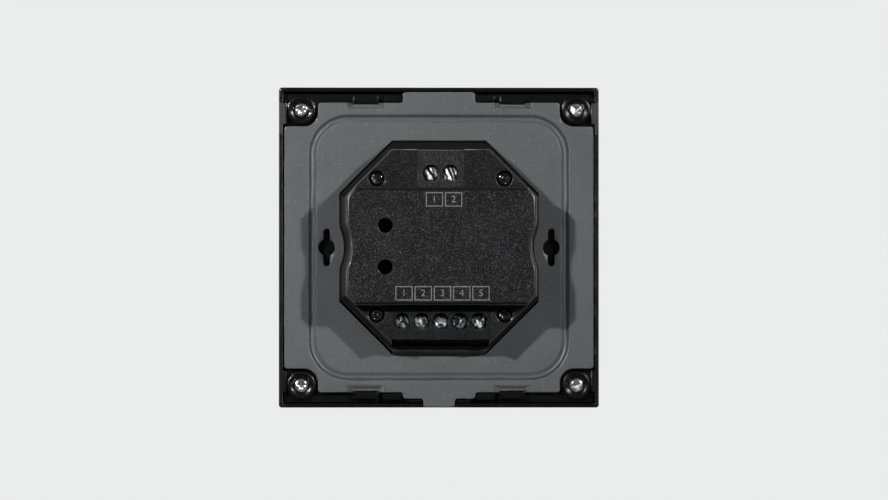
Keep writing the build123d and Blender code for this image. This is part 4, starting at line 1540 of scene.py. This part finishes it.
@dataclass
class Stage:
    """Camera, lamps, pale surround and floor."""

    eye: Point = (0.0385, 1.533, -0.021)
    aim: Point = (-0.00162, -0.0105, -0.00053)
    lens: float = 231.4
    sensor: float = 36.0
    clip: tuple[float, float] = (0.01, 50.0)
    backdrop: Colour = (0.831, 0.839, 0.839)
    room: Colour = (0.085, 0.085, 0.085)
    room_side: tuple[float, float] = (-0.35, 0.25)
    bounce: Colour = (0.28, 0.28, 0.28)
    fill: Colour = (1.0, 1.0, 1.0)
    ambient: float = 0.008
    floor_level: float = -0.22
    floor_size: float = 6.0
    floor_cloud: float = 0.4
    floor_drift: float = 0.985
    floor_fade: tuple[float, float] = (0.15, 0.6)
    lamps: tuple[Softbox, ...] = (
        Softbox("key_left", (0.64, 1.52, 0.354), 0.06, 0.06, 0.81, (-0.1, 0.0, 0.0), 24.0),
        Softbox("key_right", (-0.66, 1.52, 0.33), 0.06, 0.06, 0.91, (0.1, 0.0, 0.0), 13.0),
        Softbox("strip_top", (0.0, 0.05, 1.3), 0.6, 0.3, 0.11),
        Softbox("corner_left", (0.93, 0.05, 0.93), 0.3, 0.6, 0.18),
        Softbox("corner_right", (-0.93, 0.05, 0.93), 0.3, 0.6, 0.08),
        Softbox("strip_left", (1.3, 0.05, -0.06), 0.3, 0.24, 0.1),
        Softbox("strip_right", (-1.3, 0.05, -0.06), 0.3, 0.24, 0.045),
        Softbox("room_left", (0.7, -1.0, 1.25), 0.7, 0.7, 0.4),
        Softbox("room_right", (-0.7, -1.0, 1.25), 0.7, 0.7, 0.3),
    )

    def build(self) -> list[Piece]:
        """Sets up the shot.

        Returns:
            The camera, floor and lamps.
        """
        bpy.context.scene.view_settings.view_transform = "Standard"
        self.surround()
        return [self.camera(), self.floor(), *(lamp.build() for lamp in self.lamps)]

    def camera(self) -> Piece:
        """Adds the camera at the photograph's viewing angle.

        Returns:
            The camera's object.
        """
        data = bpy.data.cameras.new("shot")
        data.lens = self.lens
        data.sensor_width = self.sensor
        data.sensor_fit = "HORIZONTAL"
        data.clip_start, data.clip_end = self.clip
        camera = bpy.data.objects.new("shot", data)
        bpy.context.scene.collection.objects.link(camera)
        camera.location = self.eye
        sight = Vector(self.aim) - Vector(self.eye)
        camera.rotation_euler = sight.to_track_quat("-Z", "Y").to_euler()
        bpy.context.scene.camera = camera
        return camera

    def surround(self) -> None:
        """Makes the pale surround that the camera, metal and glass see, and a low fill."""
        world = bpy.data.worlds.new("surround")
        bpy.context.scene.world = world
        world.use_nodes = True
        board = NodeBoard(world.node_tree)
        path = board.add("LightPath").outputs
        seen = path["Is Camera Ray"]
        for ray in ("Is Glossy Ray", "Is Transmission Ray"):
            seen = board.math("MAXIMUM", seen, path[ray])
        fill = board.add("Background", {"Color": self.fill, "Strength": self.ambient})
        pale = board.add("Background", {"Color": self.tint(board, path["Is Glossy Ray"])})
        board.add("OutputWorld", {0: board.shaders(seen, fill, pale).outputs[0]})

    def tint(self, board: NodeBoard, glossy: Socket) -> Socket:
        """Lets gloss see the backdrop on one side and the dim room behind the camera on the other.

        Args:
            board: The surround's node tree.
            glossy: The output that says whether a ray is a glossy one.

        Returns:
            The surround's colour output.
        """
        ahead = board.split(board.add("TexCoord").outputs["Generated"], "Y")
        side = board.span(ahead, *self.room_side, interpolation_type="SMOOTHSTEP")
        return board.blend(board.math("MULTIPLY", side, glossy), self.backdrop, self.room)

    def floor(self) -> Piece:
        """Lays the plain pale floor below the panel, which runs out into the backdrop.

        Returns:
            The floor.
        """
        bpy.ops.object.select_all(action="DESELECT")
        below = (0.0, 0.0, self.floor_level)
        bpy.ops.mesh.primitive_plane_add(size=self.floor_size, location=below)
        floor = bpy.context.object
        floor.name = "floor"
        sheet = Sheet("floor_pale")
        low = tinted(self.backdrop, self.floor_drift)
        sheet.colour(sheet.ramp(sheet.noise(self.floor_cloud), low, self.backdrop, high=0.7))
        sheet.set(Roughness=0.9, Specular_IOR_Level=0.1)
        dim = sheet.add("BsdfDiffuse", {"Color": self.bounce})
        sweep = sheet.add("Emission", {"Color": self.backdrop})
        seen = sheet.add("LightPath").outputs["Is Camera Ray"]
        away = sheet.add("VectorMath", {0: sheet.coords["Object"]}, operation="LENGTH")
        far = sheet.math("MULTIPLY", sheet.span(away.outputs["Value"], *self.floor_fade), seen)
        near = sheet.shaders(seen, dim, sheet.shader)
        sheet.feed(sheet.output, 0, sheet.shaders(far, near, sweep).outputs[0])
        floor.data.materials.append(sheet.material)
        return floor


def main() -> None:
    """Builds every sub-assembly in order and reports each piece."""
    logging.basicConfig(level=logging.INFO, format="%(name)s: %(message)s")
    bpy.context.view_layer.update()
    assemblies: list[tuple[str, Callable[[], list[Piece]]]] = [
        ("front unit", FrontUnit().build),
        ("mounting plate", MountingPlate().build),
        ("rear housing", RearHousing().build),
        ("input terminal", TerminalBlock("input", 2, 0.16 * MM).build),
        ("output terminal", TerminalBlock("output", 5).build),
        ("supply board", SupplyBoard().build),
        ("stage", Stage().build),
    ]
    for title, build in assemblies:
        for piece in build():
            LOG.info("%s: %s", title, piece.name)


if __name__ == "__main__":
    main()
